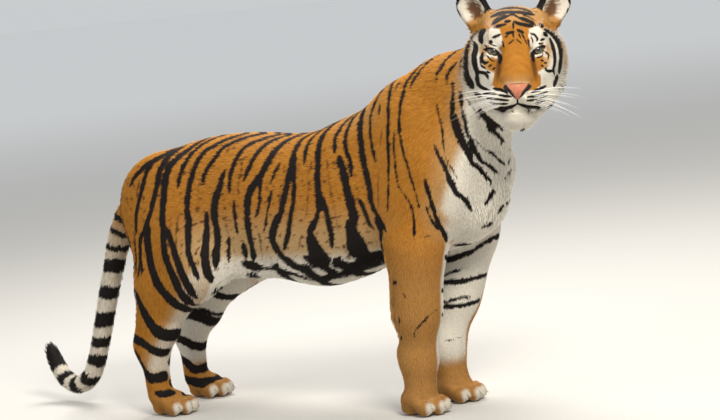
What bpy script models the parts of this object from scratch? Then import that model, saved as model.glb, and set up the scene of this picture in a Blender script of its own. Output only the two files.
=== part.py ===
"""A Bengal tiger standing at life size, its head turned to its right, as one still model.

The animal faces +X, its left side is +Y, and its soles are at z = 0. Flesh is described as
masses: tapered limbs between named joints, lumps for muscle, pads and fur, and a barrel for
the trunk. Together they make one smooth field whose zero level is the outline of the coat.
A mesh is wrapped round the masses, settled onto that level, and parted with thin cuts into
the named parts of the body. Eyes and claws are pieces of their own. Lengths are in metres.
"""

import math

import bmesh
import bpy
import numpy as np
from mathutils import Matrix, Vector

for old in list(bpy.data.objects):
    bpy.data.objects.remove(old)

# ---------------------------------------------------------------- driving dimensions
GAP = 0.0003  # clearance between neighbouring parts
SHELL_VOXEL = 0.0085  # mesh size of the wrapped shell before it is thinned out
BODY_TRIANGLES = 5000
SOLE = 0.0  # level of the floor

HEAD_CENTRE = Vector((0.769, -0.057, 0.931))  # middle of the skull, at eye level
HEAD_YAW = math.radians(-60)  # turned to the right of the way the body faces
HEAD_PITCH = math.radians(2)
HEAD_ROLL = math.radians(5)
EYE_RADIUS = 0.0195
EYE_PLACE = (0.0865, 0.0545, 0.001)  # forward, left, up from the middle of the skull

RIGHT, LEFT = -1, 1

# Trunk stations, tail end to chest: x, height of the back, height of the belly, half width.
TRUNK = (
    (-0.575, 0.635, 0.565, 0.022),
    (-0.548, 0.652, 0.520, 0.052),
    (-0.495, 0.684, 0.462, 0.090),
    (-0.425, 0.716, 0.420, 0.126),
    (-0.340, 0.746, 0.402, 0.153),
    (-0.240, 0.764, 0.396, 0.163),
    (-0.150, 0.768, 0.388, 0.165),
    (-0.060, 0.764, 0.368, 0.172),
    (0.030, 0.756, 0.342, 0.182),
    (0.110, 0.762, 0.333, 0.188),
    (0.190, 0.786, 0.348, 0.190),
    (0.270, 0.812, 0.374, 0.184),
    (0.350, 0.848, 0.396, 0.172),
    (0.430, 0.880, 0.402, 0.160),
    (0.510, 0.888, 0.422, 0.145),
    (0.580, 0.850, 0.458, 0.122),
    (0.635, 0.780, 0.525, 0.085),
    (0.660, 0.710, 0.585, 0.045),
)

# Tail, root to tip: x, y, z, radius.
TAIL = (
    (-0.520, 0.000, 0.602, 0.045),
    (-0.575, 0.000, 0.550, 0.0365),
    (-0.621, 0.000, 0.482, 0.0305),
    (-0.655, 0.000, 0.402, 0.0275),
    (-0.690, 0.000, 0.315, 0.0262),
    (-0.724, 0.002, 0.228, 0.0252),
    (-0.758, 0.006, 0.150, 0.0246),
    (-0.800, 0.014, 0.085, 0.0240),
    (-0.856, 0.026, 0.056, 0.0235),
    (-0.912, 0.042, 0.064, 0.0228),
    (-0.957, 0.058, 0.100, 0.0215),
    (-0.987, 0.070, 0.150, 0.0180),
)


# ---------------------------------------------------------------- fields
def norm(rows):
    return np.sqrt((rows * rows).sum(1))


def limb(a, b, radius_a, radius_b, wide=1.0, across=(0, 1, 0)):
    """A tapered round limb from a to b, its section scaled by wide along across."""
    a, b = np.array(a, float), np.array(b, float)
    across = np.array(across, float)
    along = b - a
    length_squared = along @ along

    def distance(points):
        share = np.clip((points - a) @ along / length_squared, 0, 1)
        off = points - a - share[:, None] * along
        side = off @ across
        off = off + np.outer(side * (1 / wide - 1), across)
        radius = radius_a + share * (radius_b - radius_a)
        return (norm(off) - radius) * min(wide, 1.0)

    steps = 5
    balls = []
    for i in range(steps):
        share = i / (steps - 1)
        radius = radius_a + share * (radius_b - radius_a)
        squeeze = Matrix.Scale(wide, 4, Vector(across))
        place = Matrix.Translation(Vector(a + share * along))
        balls.append(place @ squeeze @ Matrix.Scale(radius, 4))
    return distance, balls


def lump(centre, radii, turn=None):
    """An ellipsoid. turn is a rotation matrix for its own axes."""
    centre, radii = np.array(centre, float), np.array(radii, float)
    turn = Matrix.Identity(3) if turn is None else turn
    axes = np.array(turn)

    def distance(points):
        local = (points - centre) @ axes
        unit = norm(local / radii)
        slope = norm(local / radii**2)
        return unit * (unit - 1) / np.maximum(slope, 1e-9)

    place = Matrix.Translation(Vector(centre)) @ turn.to_4x4() @ Matrix.Diagonal((*radii, 1))
    return distance, [place]


def barrel(stations, squareness=2.25):
    """A body with egg-shaped sections, from a table of stations along X."""
    table = np.array(stations, float)
    xs = table[:, 0]

    def distance(points):
        x = points[:, 0]
        top, bottom, half_width = (smooth_table(x, xs, table[:, i]) for i in (1, 2, 3))
        middle, half_height = (top + bottom) / 2, (top - bottom) / 2
        across = np.abs(points[:, 1]) / half_width
        upright = np.abs(points[:, 2] - middle) / half_height
        ring = (across**squareness + upright**squareness) ** (1 / squareness)
        beyond = np.maximum(np.maximum(x - xs[-1], xs[0] - x), 0)
        side = (ring - 1) * np.minimum(half_width, half_height)
        return np.where(beyond > 0, np.hypot(beyond, np.maximum(side, 0)) + 0.004, side)

    balls = []
    for x, top, bottom, half_width in stations:
        radii = (0.05, half_width, (top - bottom) / 2)
        place = Matrix.Translation((x, 0, (top + bottom) / 2))
        balls.append(place @ Matrix.Diagonal((*radii, 1)))
    return distance, balls


def smooth_table(x, xs, values):
    """A cubic through the table's rows, so that the outline has no corners."""
    slopes = np.gradient(values, xs)
    i = np.clip(np.searchsorted(xs, x) - 1, 0, len(xs) - 2)
    width = xs[i + 1] - xs[i]
    t = np.clip((x - xs[i]) / width, 0, 1)
    start = values[i] * (1 + 2 * t) * (1 - t) ** 2 + slopes[i] * width * t * (1 - t) ** 2
    end = values[i + 1] * t * t * (3 - 2 * t) + slopes[i + 1] * width * t * t * (t - 1)
    return start + end


def joined(first, second, blend):
    """Smooth union of two distances, with a fillet about as wide as blend."""
    overlap = np.maximum(blend - np.abs(first - second), 0) / blend
    return np.minimum(first, second) - overlap * overlap * blend / 4


def carved(body, cutter, blend):
    """body with cutter smoothly taken away."""
    return -joined(-body, cutter, blend)


# ---------------------------------------------------------------- the head's own axes
def head_axes():
    """Columns are the head's forward, left and up directions."""
    yaw = Matrix.Rotation(HEAD_YAW, 3, "Z")
    pitch = Matrix.Rotation(-HEAD_PITCH, 3, "Y")
    roll = Matrix.Rotation(-HEAD_ROLL, 3, "X")
    return yaw @ pitch @ roll


HEAD_AXES = head_axes()


def in_head(forward, left, up):
    return HEAD_CENTRE + HEAD_AXES @ Vector((forward, left, up))


def head_limb(a, b, radius_a, radius_b, wide=1.0):
    across = HEAD_AXES @ Vector((0, 1, 0))
    return limb(in_head(*a), in_head(*b), radius_a, radius_b, wide, across)


def head_lump(place, radii, tilt=0.0, yaw=0.0):
    """A lump in the head's axes, tilted about its forward axis and yawed about its up axis."""
    turn = HEAD_AXES @ Matrix.Rotation(yaw, 3, "Z") @ Matrix.Rotation(tilt, 3, "X")
    return lump(in_head(*place), radii, turn)


# ---------------------------------------------------------------- masses of flesh and coat
def trunk_masses():
    """(mass, blend) pairs: barrel, brisket and the fold of the flank."""
    masses = [(barrel(TRUNK), 0.03)]
    masses.append((limb((0.545, 0, 0.555), (0.570, 0, 0.680), 0.098, 0.088, 1.12), 0.05))
    for side in (RIGHT, LEFT):
        flank = limb((-0.06, 0.10 * side, 0.425), (-0.25, 0.145 * side, 0.42), 0.045, 0.055, 0.5)
        masses.append((flank, 0.05))
    return masses


def neck_masses():
    return [
        (limb((0.430, 0, 0.765), (0.560, -0.003, 0.806), 0.118, 0.124, 0.90), 0.05),
        (limb((0.560, -0.003, 0.806), (0.695, -0.030, 0.856), 0.124, 0.110, 0.94), 0.05),
        (limb((0.545, 0, 0.640), (0.652, -0.035, 0.800), 0.100, 0.074, 1.10), 0.05),
    ]


def head_masses():
    masses = [
        (head_lump((-0.012, 0, 0.021), (0.124, 0.100, 0.094)), 0.04),  # braincase
        (head_lump((-0.070, 0, -0.010), (0.085, 0.100, 0.100)), 0.04),  # nape
        (head_limb((0.045, 0, 0.030), (0.150, 0, -0.070), 0.052, 0.040, 1.15), 0.03),  # nose bridge
        (head_lump((0.168, 0, -0.090), (0.030, 0.032, 0.024)), 0.015),  # nose
        (head_lump((0.106, 0, -0.100), (0.072, 0.060, 0.044)), 0.02),  # muzzle
        (head_lump((0.108, 0, -0.164), (0.050, 0.044, 0.036)), 0.020),  # chin
        (head_lump((0.030, 0, -0.135), (0.100, 0.070, 0.058)), 0.030),  # floor of the jaw
    ]
    for side in (RIGHT, LEFT):
        masses += [
            (head_lump((0.066, 0.048 * side, 0.036), (0.034, 0.034, 0.030)), 0.030),  # brow
            (head_lump((0.036, 0.078 * side, -0.034), (0.072, 0.040, 0.050)), 0.035),  # cheekbone
            (head_lump((0.084, 0.046 * side, -0.070), (0.060, 0.034, 0.040)), 0.030),  # side of the nose
            (head_lump((0.142, 0.034 * side, -0.112), (0.044, 0.036, 0.034)), 0.018),  # whisker pad
            (head_lump((0.036, 0.064 * side, -0.105), (0.080, 0.042, 0.046)), 0.030),  # jaw muscle
            (ruff(side), 0.030),
            (head_lump((-0.020, 0.074 * side, -0.082), (0.060, 0.044, 0.052)), 0.03),  # lower ruff
            (head_lump((-0.095, 0.066 * side, -0.040), (0.075, 0.055, 0.080)), 0.05),  # nape ruff
        ]
    return masses


def ruff(side):
    """The fringe of long cheek fur that rounds the face."""
    return head_lump((-0.012, 0.092 * side, -0.026), (0.060, 0.043, 0.078), 0.10 * side)


def ear_masses(side):
    """A rounded cup: a leaf-shaped shell with its hollow scooped out in front."""
    turn = HEAD_AXES @ Matrix.Rotation(math.radians(-30) * side, 3, "X")
    turn = turn @ Matrix.Rotation(math.radians(20) * side, 3, "Z")
    middle = in_head(-0.040, 0.104 * side, 0.112)
    forward = turn @ Vector((1, 0, 0))
    up = turn @ Vector((0, 0, 1))
    blade = lump(middle, (0.020, 0.042, 0.050), turn)
    root = lump(middle - up * 0.030, (0.032, 0.036, 0.036), turn)
    hollow = lump(middle + forward * 0.021 + up * 0.002, (0.022, 0.031, 0.040), turn)
    return blade, root, hollow


def foreleg_masses(side, paw):
    elbow = (ELBOW_X[side], 0.136 * side, 0.452)
    shoulder = (0.530, 0.112 * side, 0.622)
    wrist = (WRIST_X[side], paw[1] * 0.99, 0.150)
    masses = [
        (limb((0.430, 0.072 * side, 0.786), shoulder, 0.068, 0.082, 0.66), 0.05),  # shoulder blade
        (lump((0.460, 0.114 * side, 0.680), (0.115, 0.064, 0.140)), 0.05),  # shoulder muscle
        (limb(shoulder, elbow, 0.082, 0.072, 0.84), 0.05),  # upper arm
        (lump((0.428, 0.124 * side, 0.555), (0.086, 0.054, 0.110)), 0.05),  # triceps
        (lump((elbow[0] - 0.046, 0.136 * side, 0.475), (0.030, 0.034, 0.036)), 0.04),
        (limb(elbow, wrist, 0.065, 0.050, 0.92), 0.04),  # forearm
        (limb(elbow, midway(elbow, wrist, 0.55), 0.056, 0.057, 0.95), 0.05),
        (limb(wrist, (midway(wrist, paw, 0.6)[0], paw[1], 0.060), 0.050, 0.044, 1.04), 0.03),
        (lump((wrist[0] - 0.036, wrist[1], wrist[2] + 0.016), (0.015, 0.018, 0.022)), 0.03),
    ]
    return masses + paw_masses(paw, FORE_SIZE)


def hindleg_masses(side, paw):
    back = HOCK_BACK[side]
    hip = (-0.375, 0.094 * side, 0.600)
    knee = (-0.270 - 0.2 * back, 0.146 * side, 0.430)
    calf = (-0.418 - 0.9 * back, 0.122 * side, 0.250)
    hock = (-0.460 - back, 0.114 * side, 0.194)
    masses = [
        (lump((-0.360, 0.090 * side, 0.600), (0.126, 0.072, 0.116)), 0.05),  # rump
        (limb(hip, knee, 0.112, 0.084, 0.62), 0.06),  # thigh
        (limb((-0.425, 0.084 * side, 0.540), (-0.405, 0.128 * side, 0.370), 0.066, 0.062, 0.80), 0.06),
        (limb(knee, calf, 0.080, 0.050, 0.74), 0.05),
        (limb(calf, hock, 0.050, 0.041, 0.84), 0.04),
        (limb((-0.405, 0.126 * side, 0.380), (-0.486 - back, 0.114 * side, 0.203), 0.050, 0.024, 0.80), 0.05),
        (limb(hock, (paw[0] - 0.036, paw[1], 0.062), 0.042, 0.037, 0.98), 0.04),  # metatarsus
    ]
    return masses + paw_masses(paw, HIND_SIZE)


def midway(a, b, share):
    return tuple(u + (v - u) * share for u, v in zip(a, b))


PAD_DEPTH = 0.006  # how far the pads are pressed flat by the animal's weight
TOES = ((0.030, -0.045), (0.060, -0.0165), (0.060, 0.0165), (0.030, 0.045))  # forward, sideways


def paw_masses(paw, size):
    """Palm, four toes and the heel pad of a paw that is centred over paw and faces +X."""
    x, y = paw
    masses = [
        (lump((x - 0.008, y, 0.048 * size), (0.056 * size, 0.050 * size, 0.036 * size)), 0.02),
        (lump((x - 0.022, y, 0.020), (0.040 * size, 0.044 * size, 0.026)), 0.015),
    ]
    for forward, sideways in TOES:
        tip = (x + forward * size, y + sideways * size, 0.026)
        knuckle = (x + (forward - 0.035) * size, y + sideways * 0.72 * size, 0.050 * size)
        masses.append((limb(knuckle, tip, 0.022 * size, 0.0205 * size), 0.008))
        nose = (tip[0] + 0.007, tip[1], 0.023)
        masses.append((lump(nose, (0.027 * size, 0.0205 * size, 0.028 * size)), 0.006))
    return masses


FORE_SIZE = 0.87  # paws against the full size of the paw's own numbers
HIND_SIZE = 0.86
FOREPAWS = {RIGHT: (0.396, -0.108), LEFT: (0.414, 0.050)}
HINDPAWS = {RIGHT: (-0.424, -0.112), LEFT: (-0.462, 0.116)}
WRIST_X = {RIGHT: 0.404, LEFT: 0.398}
HOCK_BACK = {RIGHT: 0.0, LEFT: 0.036}  # the left hind foot stands farther back
ELBOW_X = {RIGHT: 0.456, LEFT: 0.464}


def tail_masses():
    """Short straight lengths along a smooth curve through the tail's points."""
    table = np.array(TAIL)
    rows = np.arange(len(TAIL))
    fine = np.linspace(0, len(TAIL) - 1, 3 * len(TAIL))
    points = np.stack([smooth_table(fine, rows, table[:, i]) for i in range(4)], 1)
    pairs = zip(points[:-1], points[1:])
    return [(limb(a[:3], b[:3], a[3], b[3]), 0.012) for a, b in pairs]


def all_masses():
    masses = trunk_masses() + neck_masses()
    for side in (RIGHT, LEFT):
        masses += foreleg_masses(side, FOREPAWS[side])
        masses += hindleg_masses(side, HINDPAWS[side])
    masses += head_masses()
    for side in (RIGHT, LEFT):
        blade, root, _ = ear_masses(side)
        masses += [(root, 0.03), (blade, 0.012)]
    return masses + tail_masses()


def hollows():
    """(cutter, blend) pairs for what is scooped out of the coat."""
    cutters = []
    for side in (RIGHT, LEFT):
        cutters.append((ear_masses(side)[2], 0.010))
        socket = head_lump((0.112, 0.057 * side, 0.000), (0.021, 0.020, 0.0105))
        cutters.append((socket, 0.013))  # hollow of the eye
        cutters.append((head_lump((0.196, 0.020 * side, -0.104), (0.012, 0.006, 0.006)), 0.006))
    mouth = head_lump((0.138, 0, -0.1425), (0.050, 0.052, 0.0018))
    cutters.append((mouth, 0.008))
    philtrum = head_lump((0.200, 0, -0.128), (0.014, 0.0022, 0.014))
    cutters.append((philtrum, 0.008))
    return cutters


# ---------------------------------------------------------------- wrapping and settling
def reach(mass):
    """Middle and half size of the box round a mass."""
    corners = []
    for place in mass[1]:
        middle, spread = np.array(place.translation), np.abs(np.array(place.to_3x3())).sum(1)
        corners += [middle - spread, middle + spread]
    low, high = np.min(corners, axis=0), np.max(corners, axis=0)
    return (low + high) / 2, (high - low) / 2


class Body:
    """The whole animal as one field. Each mass is asked only about points near it."""

    NEAR = 0.07

    def __init__(self):
        self.masses = [(mass, blend, reach(mass)) for mass, blend in all_masses()]
        self.cutters = [(mass, blend, reach(mass)) for mass, blend in hollows()]

    def __call__(self, points):
        whole = np.full(len(points), 1.0)
        for steps, mix in ((self.masses, joined), (self.cutters, carved)):
            for (distance, _), blend, (middle, half) in steps:
                near = np.all(np.abs(points - middle) < half + self.NEAR, axis=1)
                if near.any():
                    whole[near] = mix(whole[near], distance(points[near]), blend)
        return whole

    def slope(self, points, step=0.0006):
        shifts = [Vector(axis) for axis in ((1, 0, 0), (0, 1, 0), (0, 0, 1))]
        ahead = [self(points + np.array(shift) * step) for shift in shifts]
        behind = [self(points - np.array(shift) * step) for shift in shifts]
        return (np.stack(ahead, 1) - np.stack(behind, 1)) / (2 * step)


def wrapping(body):
    """One rough mesh of overlapping balls that covers every mass."""
    bm = bmesh.new()
    for (_, balls), _, _ in body.masses:
        for place in balls:
            bmesh.ops.create_icosphere(bm, subdivisions=2, radius=1.0, matrix=place)
    mesh = bpy.data.meshes.new("wrapping")
    bm.to_mesh(mesh)
    bm.free()
    return mesh


def evaluated(obj):
    """A new mesh holding obj with its modifiers applied."""
    graph = bpy.context.evaluated_depsgraph_get()
    return bpy.data.meshes.new_from_object(obj.evaluated_get(graph))


def modified(mesh, kind, **settings):
    """mesh after one modifier."""
    obj = bpy.data.objects.new("work", mesh)
    bpy.context.scene.collection.objects.link(obj)
    modifier = obj.modifiers.new(kind.lower(), kind)
    for name, value in settings.items():
        setattr(modifier, name, value)
    result = evaluated(obj)
    bpy.data.objects.remove(obj)
    return result


def settle(mesh, body, rounds, longest=0.006):
    """Moves every point along the field's slope onto its zero level."""
    points = np.empty(len(mesh.vertices) * 3, np.float32)
    mesh.vertices.foreach_get("co", points)
    points = points.reshape(-1, 3).astype(float)
    for _ in range(rounds):
        slope = body.slope(points)
        steep = np.maximum((slope * slope).sum(1), 0.05)
        move = -slope * (body(points) / steep)[:, None]
        length = np.maximum(norm(move), 1e-9)
        points += move * np.minimum(1, longest / length)[:, None]
    points[:, 2] = np.maximum(points[:, 2], SOLE)
    mesh.vertices.foreach_set("co", points.astype(np.float32).ravel())
    mesh.update()


def whole_animal():
    """The closed outline of the coat, thinned to the triangle budget."""
    body = Body()
    mesh = modified(wrapping(body), "REMESH", mode="VOXEL", voxel_size=1.6 * SHELL_VOXEL)
    settle(mesh, body, 5, 0.012)
    mesh = modified(mesh, "REMESH", mode="VOXEL", voxel_size=SHELL_VOXEL)
    settle(mesh, body, 4)
    mesh = modified(mesh, "TRIANGULATE")
    share = BODY_TRIANGLES / len(mesh.polygons)
    mesh = modified(mesh, "DECIMATE", ratio=share)
    for vertex in mesh.vertices:
        if vertex.co.z < 0.0015:
            vertex.co.z = SOLE
    return mesh


# ---------------------------------------------------------------- parting
def wedge(name, planes, grow=0.0, size=3.0):
    """A convex cutter kept behind every plane. Each plane is a point and an outward normal."""
    bm = bmesh.new()
    bmesh.ops.create_cube(bm, size=size)
    for point, normal in planes:
        normal = Vector(normal).normalized()
        geometry = bm.verts[:] + bm.edges[:] + bm.faces[:]
        cut = bmesh.ops.bisect_plane(
            bm, geom=geometry, plane_co=Vector(point) + normal * grow, plane_no=normal, clear_outer=True
        )
        rim = [item for item in cut["geom_cut"] if isinstance(item, bmesh.types.BMEdge)]
        bmesh.ops.contextual_create(bm, geom=rim)
    bmesh.ops.recalc_face_normals(bm, faces=bm.faces)
    return cutter_from(name, bm)


def cutter_from(name, bm):
    mesh = bpy.data.meshes.new(name)
    bm.to_mesh(mesh)
    bm.free()
    cutter = bpy.data.objects.new(name, mesh)
    bpy.context.scene.collection.objects.link(cutter)
    cutter.hide_render = True
    cutter.display_type = "WIRE"
    return cutter


def keep(mesh, cutter, operation="INTERSECT"):
    """mesh after an exact Boolean with cutter, which is then removed."""
    result = modified(mesh, "BOOLEAN", object=cutter, operation=operation, solver="EXACT")
    bpy.data.objects.remove(cutter)
    return result


WRIST_LEVEL = 0.104
ANKLE_LEVEL = 0.092
TAIL_MIDDLE = 0.345  # level at which the root length of the tail ends
TAIL_TIP_X = -0.800
BETWEEN_PAWS = -0.029  # Y of the upright plane between the forepaws


def region_planes():
    """Where the body is parted: for each region, the planes that bound it."""
    planes = {}
    up = HEAD_AXES @ Vector((0, 0, 1))
    leftward = HEAD_AXES @ Vector((0, 1, 0))
    planes["head"] = [(in_head(-0.078, 0, -0.045), (-0.76, 0.54, -0.36))]
    planes["neck"] = [((0.560, 0, 0.760), (-0.84, 0, -0.54))]
    for side, word in ((RIGHT, "right"), (LEFT, "left")):
        lean = math.radians(30) * side
        tip = HEAD_AXES @ Vector((0, math.sin(lean), math.cos(lean)))
        planes["ear_" + word] = [
            (in_head(-0.040, 0.096 * side, 0.082), -tip),
            (in_head(0, 0.050 * side, 0), -leftward * side),
        ]
        planes["foreleg_" + word] = [
            ((0.450, 0.135 * side, 0.480), (0, -0.67 * side, 0.74)),
            ((0.352, 0, 0), (-1, 0, 0)),
            ((0, BETWEEN_PAWS + 0.001 * side, 0), (0, -side, 0)),
        ]
        planes["hindleg_" + word] = [
            ((-0.350, 0.110 * side, 0.500), (0, -0.70 * side, 0.72)),
            ((-0.165, 0, 0.400), (0.84, 0, 0.54)),
            ((0, 0.001 * side, 0), (0, -side, 0)),
            ((-0.562, 0, 0), (-1, 0, 0)),
        ]
    planes["tail"] = [((-0.556, 0, 0.580), (0.80, 0, 0.60)), ((-0.532, 0, 0), (1, 0, 0))]
    nose_point = in_head(0.172, 0, -0.081)
    planes["nose_pad"] = [
        (nose_point, HEAD_AXES @ Vector((-1, 0, 0.25))),
        (nose_point, HEAD_AXES @ Vector((0.45, 0, 1))),
        (in_head(0.172, 0.036, -0.086), HEAD_AXES @ Vector((0, 0.72, -0.70))),
        (in_head(0.172, -0.036, -0.086), HEAD_AXES @ Vector((0, -0.72, -0.70))),
    ]
    return planes


def below(level, upward=1):
    """The plane z = level, keeping what is under it, or over it with upward -1."""
    return (Vector((0, 0, level)), Vector((0, 0, upward)))


def eye_ball(side, grow=0.0):
    bm = bmesh.new()
    place = Matrix.Translation(in_head(EYE_PLACE[0], EYE_PLACE[1] * side, EYE_PLACE[2]))
    radius = EYE_RADIUS + grow
    bmesh.ops.create_uvsphere(bm, u_segments=14, v_segments=9, radius=radius, matrix=place)
    return bm


CLAW_LENGTH = 0.027
CLAW_RADIUS = 0.0046
CLAW_SIDES = 6


def claw(paw, size, toe, grow=0.0):
    """A curved, flattened cone that leaves the front of a toe, rooted inside it."""
    forward, sideways = TOES[toe]
    x = paw[0] + forward * size + 0.0150
    y = paw[1] + sideways * size
    bm = bmesh.new()
    rings = []
    for i in range(4):
        share = i / 3
        radius = CLAW_RADIUS * (1 - share) ** 0.7 + grow
        reach_forward = CLAW_LENGTH * size * share + (grow if i == 3 else -grow if i == 0 else 0)
        z = 0.0395 * size - 0.010 * share - 0.0075 * share * share
        ring = []
        for j in range(CLAW_SIDES):
            angle = math.tau * j / CLAW_SIDES
            across = 0.72 * radius * math.cos(angle)
            ring.append(bm.verts.new((x + reach_forward, y + across, z + radius * math.sin(angle))))
        rings.append(ring)
    for low, high in zip(rings, rings[1:]):
        for j in range(CLAW_SIDES):
            k = (j + 1) % CLAW_SIDES
            bm.faces.new((low[j], low[k], high[k], high[j]))
    bm.faces.new(rings[0][::-1])
    bm.faces.new(rings[-1])
    bmesh.ops.remove_doubles(bm, verts=bm.verts, dist=0.00005)
    bmesh.ops.recalc_face_normals(bm, faces=bm.faces)
    return bm


# ---------------------------------------------------------------- finished pieces
MATERIALS = {
    "coat_orange": ((0.610, 0.285, 0.085), 0.85),
    "coat_pale": ((0.760, 0.650, 0.500), 0.88),
    "nose_leather": ((0.660, 0.260, 0.200), 0.50),
    "eye_gloss": ((0.360, 0.270, 0.090), 0.10),
    "claw_horn": ((0.640, 0.560, 0.430), 0.35),
}


def finished(name, mesh, material_name):
    """A named object with its own Principled material, triangulated and tidy."""
    bm = bmesh.new()
    bm.from_mesh(mesh)
    bmesh.ops.remove_doubles(bm, verts=bm.verts, dist=0.00008)
    bmesh.ops.dissolve_degenerate(bm, edges=bm.edges, dist=0.00005)
    bmesh.ops.triangulate(bm, faces=bm.faces, quad_method="BEAUTY", ngon_method="BEAUTY")
    keep_largest(bm)
    bmesh.ops.recalc_face_normals(bm, faces=bm.faces)
    piece = bpy.data.meshes.new(name)
    bm.to_mesh(piece)
    bm.free()
    colour, roughness = MATERIALS[material_name]
    material = bpy.data.materials.new(name + "_" + material_name)
    material.use_nodes = True
    shader = material.node_tree.nodes["Principled BSDF"]
    shader.inputs["Base Color"].default_value = (*colour, 1)
    shader.inputs["Roughness"].default_value = roughness
    shader.inputs["Metallic"].default_value = 0
    piece.materials.append(material)
    obj = bpy.data.objects.new(name, piece)
    bpy.context.scene.collection.objects.link(obj)
    return obj


def keep_largest(bm):
    """Drops any crumb that a cut has left beside the main body."""
    left, islands = set(bm.verts), []
    while left:
        island, front = set(), [left.pop()]
        while front:
            vertex = front.pop()
            island.add(vertex)
            for edge in vertex.link_edges:
                other = edge.other_vert(vertex)
                if other in left:
                    left.remove(other)
                    front.append(other)
        islands.append(island)
    islands.sort(key=len)
    crumbs = [vertex for island in islands[:-1] for vertex in island]
    bmesh.ops.delete(bm, geom=crumbs, context="VERTS")


def part_body():
    whole = whole_animal()
    planes = region_planes()

    head = keep(whole, wedge("head_cut", planes["head"], -GAP))
    for word in ("left", "right"):
        ear = keep(head, wedge("ear_cut", planes["ear_" + word]))
        head = keep(head, wedge("ear_cut", planes["ear_" + word], GAP), "DIFFERENCE")
        finished("ear_" + word, ear, "coat_pale")
    nose = keep(head, wedge("nose_cut", planes["nose_pad"]))
    head = keep(head, wedge("nose_cut", planes["nose_pad"], GAP), "DIFFERENCE")
    finished("nose_pad", nose, "nose_leather")
    for side, word in ((RIGHT, "right"), (LEFT, "left")):
        head = keep(head, cutter_from("socket", eye_ball(side, GAP)), "DIFFERENCE")
        ball = bpy.data.meshes.new("ball")
        eye_ball(side).to_mesh(ball)
        finished("eye_" + word, ball, "eye_gloss")
    finished("head", head, "coat_orange")

    trunk = keep(whole, wedge("head_cut", planes["head"]), "DIFFERENCE")
    neck = keep(trunk, wedge("neck_cut", planes["neck"]))
    trunk = keep(trunk, wedge("neck_cut", planes["neck"], GAP), "DIFFERENCE")
    finished("neck", neck, "coat_orange")

    for side, word in ((RIGHT, "right"), (LEFT, "left")):
        for kind, level, paws, size in (
            ("fore", WRIST_LEVEL, FOREPAWS, FORE_SIZE),
            ("hind", ANKLE_LEVEL, HINDPAWS, HIND_SIZE),
        ):
            bounds = planes[kind + "leg_" + word]
            leg = keep(trunk, wedge("leg_cut", bounds))
            trunk = keep(trunk, wedge("leg_cut", bounds, GAP), "DIFFERENCE")
            paw = keep(leg, wedge("paw_cut", [below(level)]))
            leg = keep(leg, wedge("paw_cut", [below(level + GAP)]), "DIFFERENCE")
            for toe in range(4):
                hole = cutter_from("claw_hole", claw(paws[side], size, toe, GAP))
                paw = keep(paw, hole, "DIFFERENCE")
                horn = bpy.data.meshes.new("horn")
                claw(paws[side], size, toe).to_mesh(horn)
                finished("claw_" + kind + "_" + word + "_" + str(toe + 1), horn, "claw_horn")
            finished(kind + "leg_" + word, leg, "coat_orange")
            finished(kind + "paw_" + word, paw, "coat_pale")

    tail = keep(trunk, wedge("tail_cut", planes["tail"]))
    trunk = keep(trunk, wedge("tail_cut", planes["tail"], GAP), "DIFFERENCE")
    finished("trunk", trunk, "coat_orange")
    root = keep(tail, wedge("tail_cut", [below(TAIL_MIDDLE, -1)]))
    rest = keep(tail, wedge("tail_cut", [below(TAIL_MIDDLE - GAP)]))
    tip_plane = ((TAIL_TIP_X, 0, 0), (1, 0, 0))
    middle = keep(rest, wedge("tail_cut", [tip_plane], GAP), "DIFFERENCE")
    tip = keep(rest, wedge("tail_cut", [tip_plane]))
    finished("tail_root", root, "coat_pale")
    finished("tail_middle", middle, "coat_pale")
    finished("tail_tip", tip, "coat_pale")


def centre_on_floor():
    """Moves every piece so that the box round them stands centred over the origin."""
    pieces = list(bpy.context.scene.objects)
    corners = [vertex.co for piece in pieces for vertex in piece.data.vertices]
    low = [min(corner[i] for corner in corners) for i in range(3)]
    high = [max(corner[i] for corner in corners) for i in range(3)]
    shift = Vector((-(low[0] + high[0]) / 2, -(low[1] + high[1]) / 2, -low[2]))
    for piece in pieces:
        piece.data.transform(Matrix.Translation(shift))


part_body()
centre_on_floor()
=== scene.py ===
"""A Bengal tiger at life size, standing with its head turned, finished with skin and coat."""

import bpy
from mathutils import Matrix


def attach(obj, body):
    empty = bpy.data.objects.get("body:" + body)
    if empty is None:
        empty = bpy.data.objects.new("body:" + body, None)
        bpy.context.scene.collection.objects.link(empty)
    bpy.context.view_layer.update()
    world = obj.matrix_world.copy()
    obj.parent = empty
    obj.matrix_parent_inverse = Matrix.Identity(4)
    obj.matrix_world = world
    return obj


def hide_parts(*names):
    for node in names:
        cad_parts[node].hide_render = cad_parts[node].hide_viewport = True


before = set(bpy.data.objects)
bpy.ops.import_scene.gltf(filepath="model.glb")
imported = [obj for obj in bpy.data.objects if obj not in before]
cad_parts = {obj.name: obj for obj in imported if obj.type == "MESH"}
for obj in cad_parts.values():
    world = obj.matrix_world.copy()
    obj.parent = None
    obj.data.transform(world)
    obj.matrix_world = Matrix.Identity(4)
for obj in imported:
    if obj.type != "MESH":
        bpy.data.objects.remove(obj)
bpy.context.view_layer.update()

import copy
import math

import bmesh
import bpy
import numpy as np
from mathutils import Matrix, Vector

# ---------------------------------------------------------------- flesh and outline
# The body under the coat: muscle, bone and fat as tapered limbs and lumps that melt into one
# another. Their outline is where the tips of the coat end. The animal's own frame has its
# spine over y = 0. STAND_SHIFT takes it to the middle of the floor space it stands on.
STAND_SHIFT = np.array((0.05179, 0.01591, 0.0))
HEAD_CENTRE = Vector((0.769, -0.057, 0.931))
HEAD_YAW = math.radians(-60)
HEAD_PITCH = math.radians(2)
HEAD_ROLL = math.radians(5)
RIGHT, LEFT = SIDES = (-1, 1)

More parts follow.
